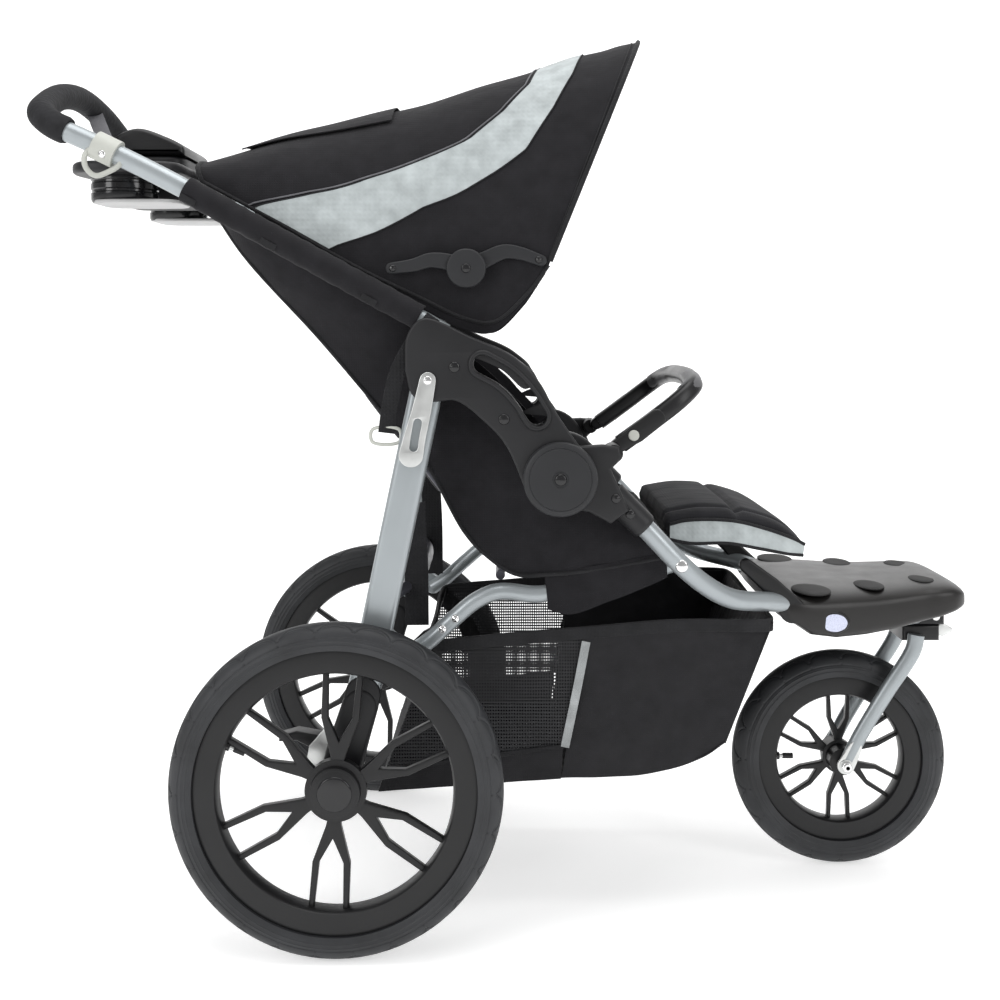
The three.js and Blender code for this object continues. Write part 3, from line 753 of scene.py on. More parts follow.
def rim(name, centre, y, outer, inner, hub, spread, prong, hub_half, first_angle):
    ring = turned(name + "_ring", [
        (inner, -12), (inner + 2, -14.5), (outer - 3, -15.5), (outer + 4, -14),
        (outer + 4, 14), (outer - 3, 15.5), (outer - 8, 14.2), (outer - 10, 15.6),
        (inner + 7, 15), (inner + 3, 13.5),
        (inner, 11), (inner - 1.5, 0)], centre, y, black_satin, 128, closed=True)
    pieces = [ring]
    for k in range(6):
        angle = math.radians(first_angle + 60 * k)
        ca, sa = math.cos(angle), math.sin(angle)
        outline = [(centre[0] + r * ca - s * sa, centre[1] + r * sa + s * ca)
                   for r, s in spoke_fork(hub, inner, spread, prong)]
        pieces.append(plate(f"{name}_spoke_{k}", [outline], y - 5.5, y + 5.5, black_satin, 2.0))
    h = hub_half
    barrel = [(0, -h), (hub * 0.55, -h), (hub * 0.8, -h + 3), (hub * 0.82, -7), (hub, -6),
              (hub, 6), (hub * 0.82, 7), (hub * 0.8, h - 3), (hub * 0.62, h), (0, h)]
    pieces.append(turned(name + "_barrel", barrel, centre, y, black_satin, 64))
    return weld(name, pieces)


def valve(name, centre, y, rim_inner, angle):
    ca, sa = math.cos(math.radians(angle)), math.sin(math.radians(angle))

    def along(r):
        return (centre[0] + r * ca, y, centre[1] + r * sa)

    def part(label, r0, r1, radius, material):
        return tube(f"{name}_{label}", [along(r0), along((r0 + r1) / 2), along(r1)], radius,
                    material, 14, 4.0)

    return weld(name, [part("boot", rim_inner + 2, rim_inner - 5, 5.2, gloss_black),
                       part("stem", rim_inner - 5, rim_inner - 11, 2.8, zinc),
                       part("cap", rim_inner - 10, rim_inner - 24, 3.9, black_satin)])


# %% [markdown]
# The rear wheels are 400 mm across and the front one 298 mm. Only the front wheel turns on
# the fork; each rear wheel has a domed cap over its quick-release hub.

# %% Fit the wheels
for word, side in SIDES:
    y = side * WHEEL_OFFSET
    install(tyre(f"tyre_rear_{word}", REAR_HUB, y, 200, 167.2, 21, 26),
            f"rear_wheel_{word}", "tyre_rubber", f"rear_tyre_{word}")
    install(rim(f"rim_rear_{word}", REAR_HUB, y, 167, 141, 37, 18.5, 4.2, 18, 26.5),
            f"rear_wheel_{word}", "black_plastic", f"rear_rim_{word}")
    collar = turned(f"hub_collar_{word}", [
        (0, side * 298), (27, side * 298), (27, side * 290), (33, side * 288),
        (33, side * 284), (0, side * 284)], REAR_HUB, 0, black_satin, 48)
    cap = turned(f"cap_dome_{word}", rounded_disc(21, side * 297, side * 303, 2.5, 1.5),
                 REAR_HUB, 0, gloss_black, 48)
    install(weld(f"hub_cap_{word}", [cap, collar]), f"rear_wheel_{word}", "grey_plastic",
            f"rear_hub_cap_{word}")
    install(valve(f"valve_rear_{word}", REAR_HUB, y + side * 2, 141, 158),
            f"rear_wheel_{word}", "chrome_fastener")
install(tyre("tyre_front", FRONT_HUB, 0, 149, 112.2, 21, 20), "front_wheel", "tyre_rubber",
        "front_tyre")
install(rim("rim_front", FRONT_HUB, 0, 112, 88, 23, 12.5, 3.0, 33, 30), "front_wheel",
        "black_plastic", "front_rim")
install(valve("valve_front", FRONT_HUB, -2, 88, 180), "front_wheel", "chrome_fastener")
print("wheels fitted")

# %% [markdown]
# ## Frame tubes
# The frame is bent aluminium tube with a satin silver lacquer. Each tube is swept along its
# bend line, so it stays one smooth pipe. The front pair curves inward to the fork block.

# %% Front tubes and link tubes
FRONT_TUBE = [(152, 230, 520), (170, 230, 502), (212, 226, 458), (246, 212, 429),
              (281, 193, 409), (354, 148, 394), (430, 110, 368), (500, 72, 356), (560, 40, 356)]
LINK = [(-120, 345), (-102, 357), (-67, 388), (-41, 409), (-13, 420), (38, 417), (120, 433),
        (170, 443), (212, 458)]


def mirrored(points, side):
    return [(x, side * y, z) for x, y, z in points]


def both_ways(points):
    """A line from the right side over the middle to the left side."""
    right = mirrored(points, -1)
    left = [p for p in mirrored(points, 1) if p[1] != 0]
    return right + left[::-1]


for word, side in SIDES:
    pipe = tube(f"front_pipe_{word}", mirrored(FRONT_TUBE, side), TUBE, silver_paint, 32, 5)
    install(pipe, "front_frame", "silver_tube", f"front_tube_{word}")
    bolt = rivet(f"link_bolt_{word}", (212, 458), side, 237, 8, chrome, 4)
    install(bolt, "front_frame", "chrome_fastener")
    link = tube(f"link_pipe_{word}", [(x, side * 203, z) for x, z in LINK], 10.5, silver_paint,
                28, 5)
    install(link, "link_frame", "silver_tube", f"link_tube_{word}")
    studs = [rivet(f"stud_{word}_{k}", place, side, 211.5, 5.5, chrome, 4)
             for k, place in enumerate([(-83, 375), (-67, 388)])]
    install(weld(f"link_studs_{word}", studs), "link_frame", "chrome_fastener")
print("front tubes and links fitted")

# %% [markdown]
# The handle is one long tube from the fold housings up, round the loop and back. Closed-cell
# foam covers the loop. A sleeve of the canopy's own black cloth is sewn round each side, so
# bare tube shows only between the sleeve and the foam.

# %% Handle, foam grip and cloth sleeves
HANDLE = [(-78, 235, 743), (-260, 235, 845), (-425, 235, 935), (-515, 235, 979),
          (-558, 231, 999), (-582, 212, 1016), (-592, 170, 1034), (-599, 90, 1060),
          (-602, 0, 1071)]
GRIP = [(-542, 233.5, 992)] + HANDLE[4:]
install(tube("handle_pipe", both_ways(HANDLE), TUBE, silver_paint, 32, 5), "upper_frame",
        "silver_tube", "handle_tube")


def grip_end(t):
    edge = min(t, 1 - t) / 0.006
    return 0.9 + 0.1 * min(edge, 1) ** 0.5


install(tube("foam_grip", both_ways(GRIP), 17.3, foam, 32, 5, grip_end), "upper_frame",
        "grip_foam", "handle_grip")


def sleeve_size(t):
    return 1 + 0.035 * noise.noise((t * 31, 0.3, 0.7)) + 0.02 * math.sin(t * 90)


for word, side in SIDES:
    line = [(-397, side * 235, 920.5), (-260, side * 235, 845), (-110, side * 235, 763)]
    sleeve = tube(f"sleeve_{word}", line, 16, black_cloth, 32, 4, sleeve_size, capped=False)
    thicken(sleeve, 1.2, -1, 60)
    install(sleeve, "upper_frame", "black_fabric")
    cloth(sleeve, 0.33, "stretched", "handle_pipe")
    tabs = []
    for k, (x, z) in enumerate([(-392, 906), (-294, 852), (-171, 784)]):
        tabs.append(strap(f"tab_{word}_{k}", [(x - 9, side * 249.5, z + 5), (x, side * 250.5, z),
                    (x + 9, side * 249.5, z - 5)], 8, 2.2, binding, (0.5, 0, 0.87)))
    install(weld(f"sleeve_tabs_{word}", tabs), "upper_frame", "webbing")
print("handle fitted")

# %% [markdown]
# ## Fold joint
# Each fold joint is a nylon housing of two cheeks round the leg, with a crescent hand slot, and
# a big flat cover over the pivot. The slot has a raised rim, which is swept round it.

# %% Housings and hub covers
FRONT_EDGE = [(-126, 700), (-123, 742), (-104, 762), (-45, 739), (5, 716), (36, 686)]
REAR_EDGE = [(-4, 608), (-31, 638), (-64, 662), (-92, 661), (-116, 668), (-126, 700)]
SLOT = [(-32, 706), (-4, 690), (18, 668), (34, 643)]


def flat_line(points, step=5.0):
    return [tuple(p) for p in smooth_line(points, step)]


def housing_outline():
    around = circle(FOLD_XZ, 45, 30, 1.0, -3.6)
    front = flat_line(FRONT_EDGE + [(56, 650), (86, 606)])
    rear = flat_line([around[-1]] + REAR_EDGE)
    return front[:-1] + around[:-1] + rear[:-1]


def inner_cheek_outline():
    """The inner cheek leaves a slot for the lug that sweeps past it as the frame folds."""
    front = flat_line(FRONT_EDGE + [(42, 657)])
    wide = circle(FOLD_XZ, 88, 4, math.radians(106), math.radians(18))
    narrow = circle(FOLD_XZ, 56, 14, math.radians(124), math.radians(-124))
    around = circle(FOLD_XZ, 45, 20, 0.0, -2.6)
    rear = flat_line([around[-1]] + REAR_EDGE)
    return front + wide + narrow + around[:-1] + rear[:-1]


for word, side in SIDES:
    slot_hole = capsule(flat_line(SLOT, 4), 12)
    cheek = side_plate(f"cheek_outer_{word}", [housing_outline(), slot_hole], side, 256, 264.2,
                       black_moulded, 3)
    inner = side_plate(f"cheek_inner_{word}", [inner_cheek_outline(), slot_hole], side, 218, 234,
                       black_moulded, 3)
    web = [(-125, 720), (-122, 744), (-104, 761), (-45, 738.5), (5, 715.5), (34, 688), (20, 676),
           (-10, 700), (-60, 718), (-90, 712)]
    bridge = side_plate(f"cheek_bridge_{word}", [flat_line(web + web[:1])[:-1]], side, 232, 258,
                        black_moulded, 1)
    rim_line = [(x, side * 263.6, z) for x, z in capsule(flat_line(SLOT, 4), 14.8)]
    lip = sweep(f"slot_lip_{word}", rim_line, circle((0, 0), 3.2, 12), black_moulded, closed=True)
    install(weld(f"fold_housing_{word}", [cheek, inner, bridge, lip]), "upper_frame",
            "black_plastic", f"hinge_housing_{word}")
    rivets = [rivet(f"housing_rivet_{word}_{k}", place, side, 263, 7, gloss_black, 4)
              for k, place in enumerate([(-66, 703), (-6, 640)])]
    install(weld(f"housing_rivets_{word}", rivets), "upper_frame", "black_plastic")
    dish = [(0, side * 264.6), (44, side * 264.6), (45, side * 266.5), (45, side * 271.5),
            (43.6, side * 274.4), (41, side * 275.6), (38.5, side * 275.9), (37.6, side * 275.2),
            (36.6, side * 275.9), (10, side * 276), (9, side * 275.2), (0, side * 275.2)]
    cover = turned(f"fold_cover_{word}", dish, FOLD_XZ, 0, grey_moulded, 96, angle=25)
    install(cover, "front_frame", "grey_plastic", f"hub_cover_{word}")
    centre = rivet(f"fold_cover_rivet_{word}", FOLD_XZ, side, 274.4, 7.5, gloss_black, 4)
    install(centre, "front_frame", "black_plastic")
print("fold housings fitted")

# %% [markdown]
# Below the cover, the front tube plugs into a moulded socket with a round sleeve. The bumper
# bar clicks into a receiver on a lug of the same moulding.

# %% Sockets
for word, side in SIDES:
    ax, az = FOLD_XZ
    web = [(ax, az - 36), (ax + 36, az - 42), (ax + 62, az - 56), (ax + 84, az - 40),
           (ax + 72, az - 12), (ax + 62, az + 10), (ax + 76, az + 24), (ax + 72, az + 38),
           (ax + 52, az + 40), (ax, az + 37)]
    arm = side_plate(f"socket_arm_{word}", [web], side, 236, 254, black_moulded, 4)
    knuckle = side_plate(f"socket_knuckle_{word}", [circle(FOLD_XZ, 38, 48)], side, 236, 254,
                         black_moulded, 2)
    line = [(127, side * 230, 546), (140, side * 230, 532), (152, side * 230, 520),
            (168, side * 230, 504)]
    sleeve = tube(f"socket_sleeve_{word}", line, 17, black_moulded, 32, 3,
                  lambda t: 1 - 0.16 * max(0, (t - 0.93) / 0.07) ** 2)
    lug = turned(f"socket_lug_{word}", rounded_disc(11, side * 250, side * 207, 2), (128, 597), 0,
                 black_moulded, 32)
    install(weld(f"tube_socket_{word}", [arm, knuckle, sleeve, lug]), "front_frame",
            "black_plastic", f"front_socket_{word}")
    studs = [rivet(f"socket_rivet_{word}_{k}", place, side, y, 6, gloss_black, 4)
             for k, (place, y) in enumerate([((130, 543), 253), ((148, 523), 246)])]
    install(weld(f"socket_rivets_{word}", studs), "front_frame", "black_plastic")
print("sockets fitted")

# %% [markdown]
# ## Rear legs
# Each rear leg is a flat oval extrusion, so its long edges are rounded over generously. It
# plugs into a black foot that carries the axle. The link's bracket is a pressed tab.

# %% Rear legs, feet and axle
LEG_SLOPE = 0.209


def leg_x(z):
    return LEG_XZ[0] + (z - LEG_XZ[1]) * LEG_SLOPE


def leg_outline(radius, bottom):
    across = Vector((1, -LEG_SLOPE)).normalized() * radius
    top = circle(LEG_XZ, radius, 20, math.atan2(across[1], across[0]), math.pi)
    low = Vector((leg_x(bottom), bottom))
    return top + [tuple(low - across), tuple(low + across)]


for word, side in SIDES:
    leg = side_plate(f"leg_extrusion_{word}", [leg_outline(20, 303.5)], side, 236, 254,
                     silver_paint, 7)
    tab = capsule([(leg_x(372), 372), (-146, 360), (-120, 345)], [18, 16, 14])
    bracket = side_plate(f"leg_bracket_{word}", [tab], side, 224, 240, silver_paint, 2)
    install(weld(f"oval_leg_{word}", [leg, bracket]), "rear_frame", "silver_tube",
            f"rear_leg_{word}")
    foot_line = flat_line([(leg_x(289), 291), (-199, 232), REAR_HUB])
    sizes = [22 + 3 * k / (len(foot_line) - 1) for k in range(len(foot_line))]
    foot = side_plate(f"foot_block_{word}", [capsule(foot_line, sizes)], side, 232, 257,
                      black_moulded, 5)
    ring = side_plate(f"foot_collar_{word}", [capsule([(leg_x(298), 298), (leg_x(306), 306)], 21.5)],
                      side, 234.5, 255.5, black_moulded, 2)
    install(weld(f"leg_socket_{word}", [foot, ring]), "rear_frame", "black_plastic",
            f"leg_foot_{word}")
    gusset = [(-250, 214), (-246, 236), (-226, 258), (-200, 262), (-182, 248), (-178, 214),
              (-190, 196), (-222, 194)]
    gusset_plate = side_plate(f"axle_plate_{word}", [gusset], side, 226, 231.5, zinc, 1.2)
    install(gusset_plate, "rear_frame", "bare_metal")
    pedal = [(-222, 226), (-224, 240), (-236, 248), (-262, 253), (-284, 247), (-284, 240),
             (-262, 241), (-244, 232), (-236, 226)]
    install(side_plate(f"brake_lever_{word}", [pedal], side, 205, 230, black_satin, 3),
            f"brake_pedal_{word}", "black_plastic", f"brake_pedal_{word}")
profile = [(0, -297), (5.6, -297), (6, -296), (6, -231), (10, -230), (10, 230), (6, 231),
           (6, 296), (5.6, 297), (0, 297)]
install(turned("axle_tube", profile, REAR_HUB, 0, dark_tube, 32), "rear_frame", "silver_tube",
        "rear_axle")
SUPPORT = [(-142, 235, 421), (-140, 216, 421), (-131, 176, 421), (-122, 120, 421),
           (-118, 50, 421), (-118, 0, 421)]
install(tube("support_bow", both_ways(SUPPORT), 8, dark_tube, 20, 6), "rear_frame", "dark_tube",
        "seat_support_bar")
print("rear frame fitted")

# %% [markdown]
# The fold latch is a bare zinc teardrop on the outside of each housing. Its long slot takes
# a finger, and it turns about the leg's pivot.

# %% Fold latches
for word, side in SIDES:
    teardrop = capsule(flat_line([LEG_XZ, (-105, 652), (-114, 616), (-118, 597)], 5),
                       np.interp(np.linspace(0, 1, len(flat_line([LEG_XZ, (-105, 652),
                       (-114, 616), (-118, 597)], 5))), [0, 0.8, 1], [10, 13.5, 15]))
    hole = capsule([(-110, 636), (-113, 620), (-115, 606)], 5)
    latch = side_plate(f"latch_plate_{word}", [teardrop, hole], side, 264.4, 267.6, zinc, 1)
    install(latch, f"fold_latch_{word}", "bare_metal", f"fold_latch_{word}")
    pin = rivet(f"latch_pin_{word}", LEG_XZ, side, 267, 5.5, chrome, 3)
    install(pin, f"fold_latch_{word}", "chrome_fastener")
print("latches fitted")

# %% [markdown]
# ## Fork and footrest
# The fork blades are oval tubes that end in flattened dropouts with a nut and a washer. The
# crown turns under a black block, and a small lever on it locks the swivel.

# %% Fork, block and lever
FORK = [(561, 328), (557, 308), (520, 249), (484, 190), (463, 149)]
for word, side in SIDES:
    line = smooth_line([(x, side * 41, z) for x, z in FORK], 5)
    section = [(u * 8.0, v * 11.5) for u, v in circle((0, 0), 1, 24)]
    blade = sweep(f"fork_stay_{word}", line, section, silver_paint,
                  [1 - 0.14 * k / (len(line) - 1) for k in range(len(line))], (0, 1, 0))
    dropout = side_plate(f"fork_dropout_{word}", [capsule([(476, 174), (468, 158), FRONT_HUB],
                         [9, 11, 12])], side, 43.5, 47, zinc, 1)
    install(weld(f"fork_arm_{word}", [blade, dropout]), "front_fork", "silver_tube",
            f"fork_blade_{word}")
    washer = turned(f"axle_washer_{word}", rounded_disc(9, side * 47, side * 48.6, 0.5),
                    FRONT_HUB, 0, zinc, 32)
    nut = turned(f"axle_nut_{word}", rounded_disc(7.4, side * 48.6, side * 54, 1), FRONT_HUB, 0,
                 chrome, 6, angle=20)
    stub = turned(f"axle_stub_{word}", rounded_disc(3.6, side * 54, side * 57, 0.8), FRONT_HUB, 0,
                  chrome, 20)
    install(weld(f"axle_nut_set_{word}", [washer, nut, stub]), "front_fork", "chrome_fastener")
axle = turned("front_spindle", [(0, -57), (5, -57), (5, 57), (0, 57)], FRONT_HUB, 0, chrome, 24)
install(axle, "front_fork", "chrome_fastener", "front_axle")
crown_side = [(544.5, 318), (595.5, 318), (595.5, 340), (544.5, 340)]
crown = plate("fork_yoke", [crown_side], -34.6, 34.6, black_satin, 4)
install(crown, "front_fork", "black_plastic", "fork_crown")
block_side = [(546, 340.5), (602, 340.5), (602, 377), (546, 377)]
block = plate("fork_block", [block_side], -36, 36, black_moulded, 4)
install(block, "front_frame", "black_plastic", "swivel_block")
lever_side = [(597.5, 322), (606, 319), (620, 326), (620, 331), (604, 338), (601, 336), (598, 331)]
lever = plate("lock_lever", [lever_side], -14, 14, zinc, 1.5)
install(lever, "swivel_lock", "bare_metal", "swivel_lock_lever")
screw = rivet("block_screw", (590, 352), -1, 35, 6, chrome, 3)
install(screw, "front_frame", "chrome_fastener")
print("fork fitted")

# %% [markdown]
# The footrest is one blow-moulded tread, widest at the back. Its shape is lofted from rounded
# sections, so the top edge rolls over into the skirt as a moulding does. Oval grip pads with
# a coarser grain sit on its top, and an oval reflector sits on each flank.

# %% Footrest
FOOT_STATIONS = [(352, 152, 397, 374), (358, 158, 401, 369), (372, 160, 404, 362),
                 (395, 157, 405.5, 346), (430, 148, 406, 340), (470, 137, 405, 342),
                 (510, 125, 405.5, 347), (550, 115, 407.5, 356), (575, 112, 408.5, 362),
                 (595, 106, 407, 369), (607, 95, 402, 374), (614, 80, 395, 377),
                 (616.5, 60, 388, 380)]


def loft(name, rings, material, angle=38):
    n, m = len(rings[0]), len(rings)
    verts = [at(*p) for ring in rings for p in ring]
    faces = [(i * n + k, i * n + (k + 1) % n, (i + 1) * n + (k + 1) % n, (i + 1) * n + k)
             for i in range(m - 1) for k in range(n)]
    faces += [tuple(range(n)), tuple(range((m - 1) * n, m * n))]
    piece = make(name, verts, faces, material, angle)
    outward(piece)
    shade(piece, angle)
    return piece


def rounded_section(x, half, top, bottom, power=5.0, count=64):
    ring = []
    middle, rise = (top + bottom) / 2, (top - bottom) / 2
    for k in range(count):
        a = 2 * math.pi * k / count
        c, s = math.cos(a), math.sin(a)
        y = math.copysign(abs(c) ** (2 / power), c) * half
        z = math.copysign(abs(s) ** (2 / power), s) * rise
        crown = 1.5 * (1 - (y / half) ** 2) if s > 0 else 0
        ring.append((x, y * (1 - 0.03 * (s < -0.5)), middle + z + crown))
    return ring


stations = smooth_line([(x, h, t) for x, h, t, b in FOOT_STATIONS], 6)
lows = np.interp(stations[:, 0], [s[0] for s in FOOT_STATIONS], [s[3] for s in FOOT_STATIONS])
rings = [rounded_section(x, h, t, b) for (x, h, t), b in zip(stations, lows)]
tread_plate = loft("foot_tread", rings, deck_plastic, 50)
install(tread_plate, "front_frame", "black_plastic", "footrest")
pads = []
for side in (-1, 1):
    for x, y, wide, deep, top in [(398, 118, 25, 38, 405.6), (483, 86, 19, 32, 405.6),
                                  (562, 58, 16, 26, 408.4)]:
        outline = [(x + wide * math.cos(a), side * y + deep * math.sin(a))
                   for a in np.linspace(0, 2 * math.pi, 48, endpoint=False)]
        rings = [[(px, py, top - 1) for px, py in outline],
                 [(px, py, top + 0.3) for px, py in outline],
                 [(x + (px - x) * 0.95, side * y + (py - side * y) * 0.95, top + 0.9)
                  for px, py in outline],
                 [(x + (px - x) * 0.6, side * y + (py - side * y) * 0.6, top + 1.3)
                  for px, py in outline]]
        pads.append(loft(f"grip_pad_{side}_{x}", rings, deck_grip, 40))
install(weld("foot_grip_pads", pads), "front_frame", "black_plastic")
for word, side in SIDES:
    oval = [(421 + 20 * math.cos(a), 369 + 14.5 * math.sin(a))
            for a in np.linspace(0, 2 * math.pi, 48, endpoint=False)]
    frame_ring = side_plate(f"reflector_frame_{word}", [oval], side, 140, 152, black_satin, 3)
    install(frame_ring, "front_frame", "black_plastic")
    lens_shape = [(421 + 16.5 * math.cos(a), 369 + 11.5 * math.sin(a))
                  for a in np.linspace(0, 2 * math.pi, 48, endpoint=False)]
    lens = side_plate(f"reflector_{word}", [lens_shape], side, 150, 153.6, reflector, 1.6)
    install(lens, "front_frame", "reflector_lens")
    stay = side_plate(f"footrest_stay_{word}", [capsule([(366, 386), (338, 418), (306, 444)],
                      [17, 12, 9])], side, 148, 158, black_satin, 3)
    install(stay, "front_frame", "black_plastic")
print("footrest fitted")

# %% [markdown]
# ## Parent tray
# The tray is a moulded console: a deck with two deep drink cups and a lidded bin between them.
# The cups are glossier and ribbed. Each cup stands on a light grey lip. The tray hangs on the
# handle by two ivory clips.

# %% Tray
def slab(name, outline, z0, z1, material, bevel=2.0, angle=40):
    """A plate that lies flat: the outline is in x and y, and the thickness runs up z."""
    piece = plate(name, [[(x, y) for x, y in outline]], 0, z1 - z0, material, bevel, angle)
    stand = Matrix(((1, 0, 0, 0), (0, 0, 1, 0), (0, -1, 0, z1 * MM), (0, 0, 0, 1)))
    piece.data.transform(stand)
    outward(piece)
    shade(piece, angle)
    return piece


def stacked(name, centre, profile, material, count=64, angle=32):
    """Rings of (radius, z) stacked about an upright axis."""
    rings = [[(x, y, z) for x, y in circle(centre, r, count)] for r, z in profile]
    return loft(name, rings, material, angle)


def oval(centre, half_x, half_y, power=2.6, count=64):
    out = []
    for k in range(count):
        a = 2 * math.pi * k / count
        c, s = math.cos(a), math.sin(a)
        out.append((centre[0] + math.copysign(abs(c) ** (2 / power), c) * half_x,
                    centre[1] + math.copysign(abs(s) ** (2 / power), s) * half_y))
    return out


DECK = [(-414, 0), (-416, 120), (-424, 190), (-470, 206), (-535, 202), (-558, 170), (-552, 90),
        (-548, 0), (-552, -90), (-558, -170), (-535, -202), (-470, -206), (-424, -190),
        (-416, -120)]
deck_line = [tuple(p) for p in smooth_line(DECK, 6, closed=True)]
deck = slab("tray_deck", deck_line, 946, 960.5, black_moulded, 5)
bin_box = slab("tray_bin", oval((-492.5, 0), 52, 72, 6), 922, 983.5, black_moulded, 5)
cups = []
for side in (-1, 1):
    cup = [(36, 911), (40.5, 912), (42.5, 916), (42.8, 924), (41.6, 925.5), (41.6, 928),
           (43, 929.5), (43, 936), (41.8, 937.5), (41.8, 940), (43.2, 941.5), (43.4, 962),
           (42.4, 964.5), (40, 965), (38.4, 963.5), (38, 960), (37.5, 917), (34, 915)]
    cups.append(stacked(f"cup_{side}", (-500, side * 138), cup, gloss_black))
install(weld("tray_console", [deck, bin_box] + cups), "upper_frame", "black_plastic",
        "parent_tray")
lips = [slab(f"cup_lip_{side}", oval((-476, side * 141), 56, 47, 4), 909.5, 914, lip_grey, 2)
        for side in (-1, 1)]
install(weld("cup_lips", lips), "upper_frame", "grey_plastic")
LID = [(-545.5, 985), (-545, 996), (-531, 1012), (-504, 1021.5), (-470, 1012), (-441, 996),
       (-439.5, 985)]
lid = plate("bin_lid", [flat_line(LID, 6)], -74, 74, black_satin, 7)
install(lid, "tray_lid", "black_plastic", "tray_lid")
thumb = plate("lid_thumb_grip", [[(-541, 1001), (-536, 1011), (-528, 1013), (-534, 1003)]],
              -20, 20, black_satin, 2)
install(thumb, "tray_lid", "black_plastic")
HOOK = [(-512, 970), (-519, 960), (-517, 946), (-506, 936.5), (-490, 941), (-476, 950),
        (-474, 958)]
for word, side in SIDES:
    clamp = tube(f"clip_ring_{word}", [(-481, side * 235, 962.5), (-494, side * 235, 968.8),
                 (-508, side * 235, 975.6)], 17.6, ivory, 36, 3)
    hook = tube(f"clip_hook_{word}", [(x, side * 243, z) for x, z in HOOK], 3.4, ivory, 14, 3)
    install(weld(f"clip_{word}", [clamp, hook]), "upper_frame", "ivory_plastic",
            f"tray_clip_{word}")
    pin = rivet(f"clip_rivet_{word}", (-495, 962), side, 250, 5, chrome, 4)
    install(pin, "upper_frame", "chrome_fastener")
WRIST = [(-600, 40, 1068), (-588, 26, 1046), (-572, 8, 1018), (-556, -6, 990),
         (-546, -12, 965)]
wrist = strap("wrist_strap", WRIST, 24, 1.6, piping_grey, (0.75, 0.6, 0.1))
install(wrist, "upper_frame", "webbing")
print("tray fitted")

# %% [markdown]
# ## Canopy
# The canopy is one cloth shell stretched over bows. It is drawn as ribs: each rib has a lower
# edge and a crown, and is a squared arch between them. The silver panel is its own piece of
# cloth, sewn on along two curved edges, so it lies just above the black shell.

# %% Canopy shell
RIBS = [((-386, 934), (-400, 966)), ((-291, 879), (-300, 1005)), ((-190, 818), (-190, 1035)),
        ((-110, 776), (-80, 1066)), ((-60, 750), (10, 1094)), ((-20, 745), (85, 1118)),
        ((20, 782), (140, 1133)), ((45, 817), (176, 1140))]
CANOPY_HALF = 212
ARCH_POWER = 3.2
rib_array = np.array(RIBS, float)


def rib_at(s):
    i = int(min(max(math.floor(s), 0), 6))
    t = s - i
    b, c = rib_array[i], rib_array[i + 1]
    a = rib_array[i - 1] if i > 0 else 2 * b - c
    d = rib_array[i + 2] if i < 6 else 2 * c - b
    return 0.5 * (2 * b + (c - a) * t + (2 * a - 5 * b + 4 * c - d) * t * t
                  + (3 * b - a - 3 * c + d) * t ** 3)


def canopy_point(s, degrees, lift=0.0):
    """A point on the canopy: s counts ribs from the rear, degrees run over the arch."""
    bottom, crown = rib_at(s)
    a = math.radians(degrees)
    c, u = math.cos(a), math.sin(a)
    across = math.copysign(abs(c) ** (2 / ARCH_POWER), c)
    up = abs(u) ** (2 / ARCH_POWER)
    ripple = 2.2 * noise.noise((s * 1.3, across * 2.2, up * 2.0)) * min(7 - s, s, 1)
    reach = 1 + (lift + ripple) / max(crown[1] - bottom[1], 30)
    x, z = bottom + (crown - bottom) * up * reach
    return (x, -across * (CANOPY_HALF + lift + ripple), z)


def canopy_patch(name, rear, front, degrees, columns, material, thickness, lift):
    rows = []
    for d in degrees:
        fold = min(d, 180 - d)
        s0, s1 = rear(fold), front(fold)
        rows.append([at(*canopy_point(s0 + (s1 - s0) * k / (columns - 1), d, lift))
                     for k in range(columns)])
    piece = grid_sheet(name, rows, material, thickness, offset=0)
    follow_canopy(piece)
    return piece


def follow_canopy(piece):
    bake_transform(piece)


shell = canopy_patch("canopy_shell", lambda d: 0, lambda d: 7, np.linspace(0, 180, 121), 90,
                     black_cloth, 1.8, -0.9)
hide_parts("canopy_fabric")
print("canopy area", round(cloth(shell, 0.78, "stretched", "bow_front", "bow_rear"), 3))

# %% [markdown]
# The silver panel starts low at the rear and sweeps forward as it climbs, then runs straight
# over the top. Its two edges are given by how far forward they are at each height.

# %% Canopy panel, piping, hems and flap
PANEL_REAR = ([0, 14, 23, 30, 36, 46, 59, 90], [0.70, 1.5, 2.15, 2.83, 3.45, 3.95, 4.3, 4.45])
PANEL_FRONT = ([0, 7, 15, 19, 24, 29, 41, 55, 90],
               [1.60, 2.25, 2.9, 3.45, 4.05, 4.58, 4.93, 5.15, 5.3])


def panel_rear(fold):
    return float(np.interp(fold, *PANEL_REAR))


def panel_front(fold):
    return float(np.interp(fold, *PANEL_FRONT))


panel = canopy_patch("canopy_panel", panel_rear, panel_front, np.linspace(0.6, 179.4, 161), 26,
                     silver_cloth, 0.8, 0.9)
cloth(panel, 1.0, "stretched", "canopy_shell")


def canopy_line(edge, shift, lift, lo=0.5, hi=179.5, count=140):
    return [canopy_point(edge(min(d, 180 - d)) + shift, d, lift)
            for d in np.linspace(lo, hi, count)]


def canopy_cord(name, points, radius, material):
    cord = sweep(name, points, circle((0, 0), radius, 8), material)
    follow_canopy(cord)
    return cord


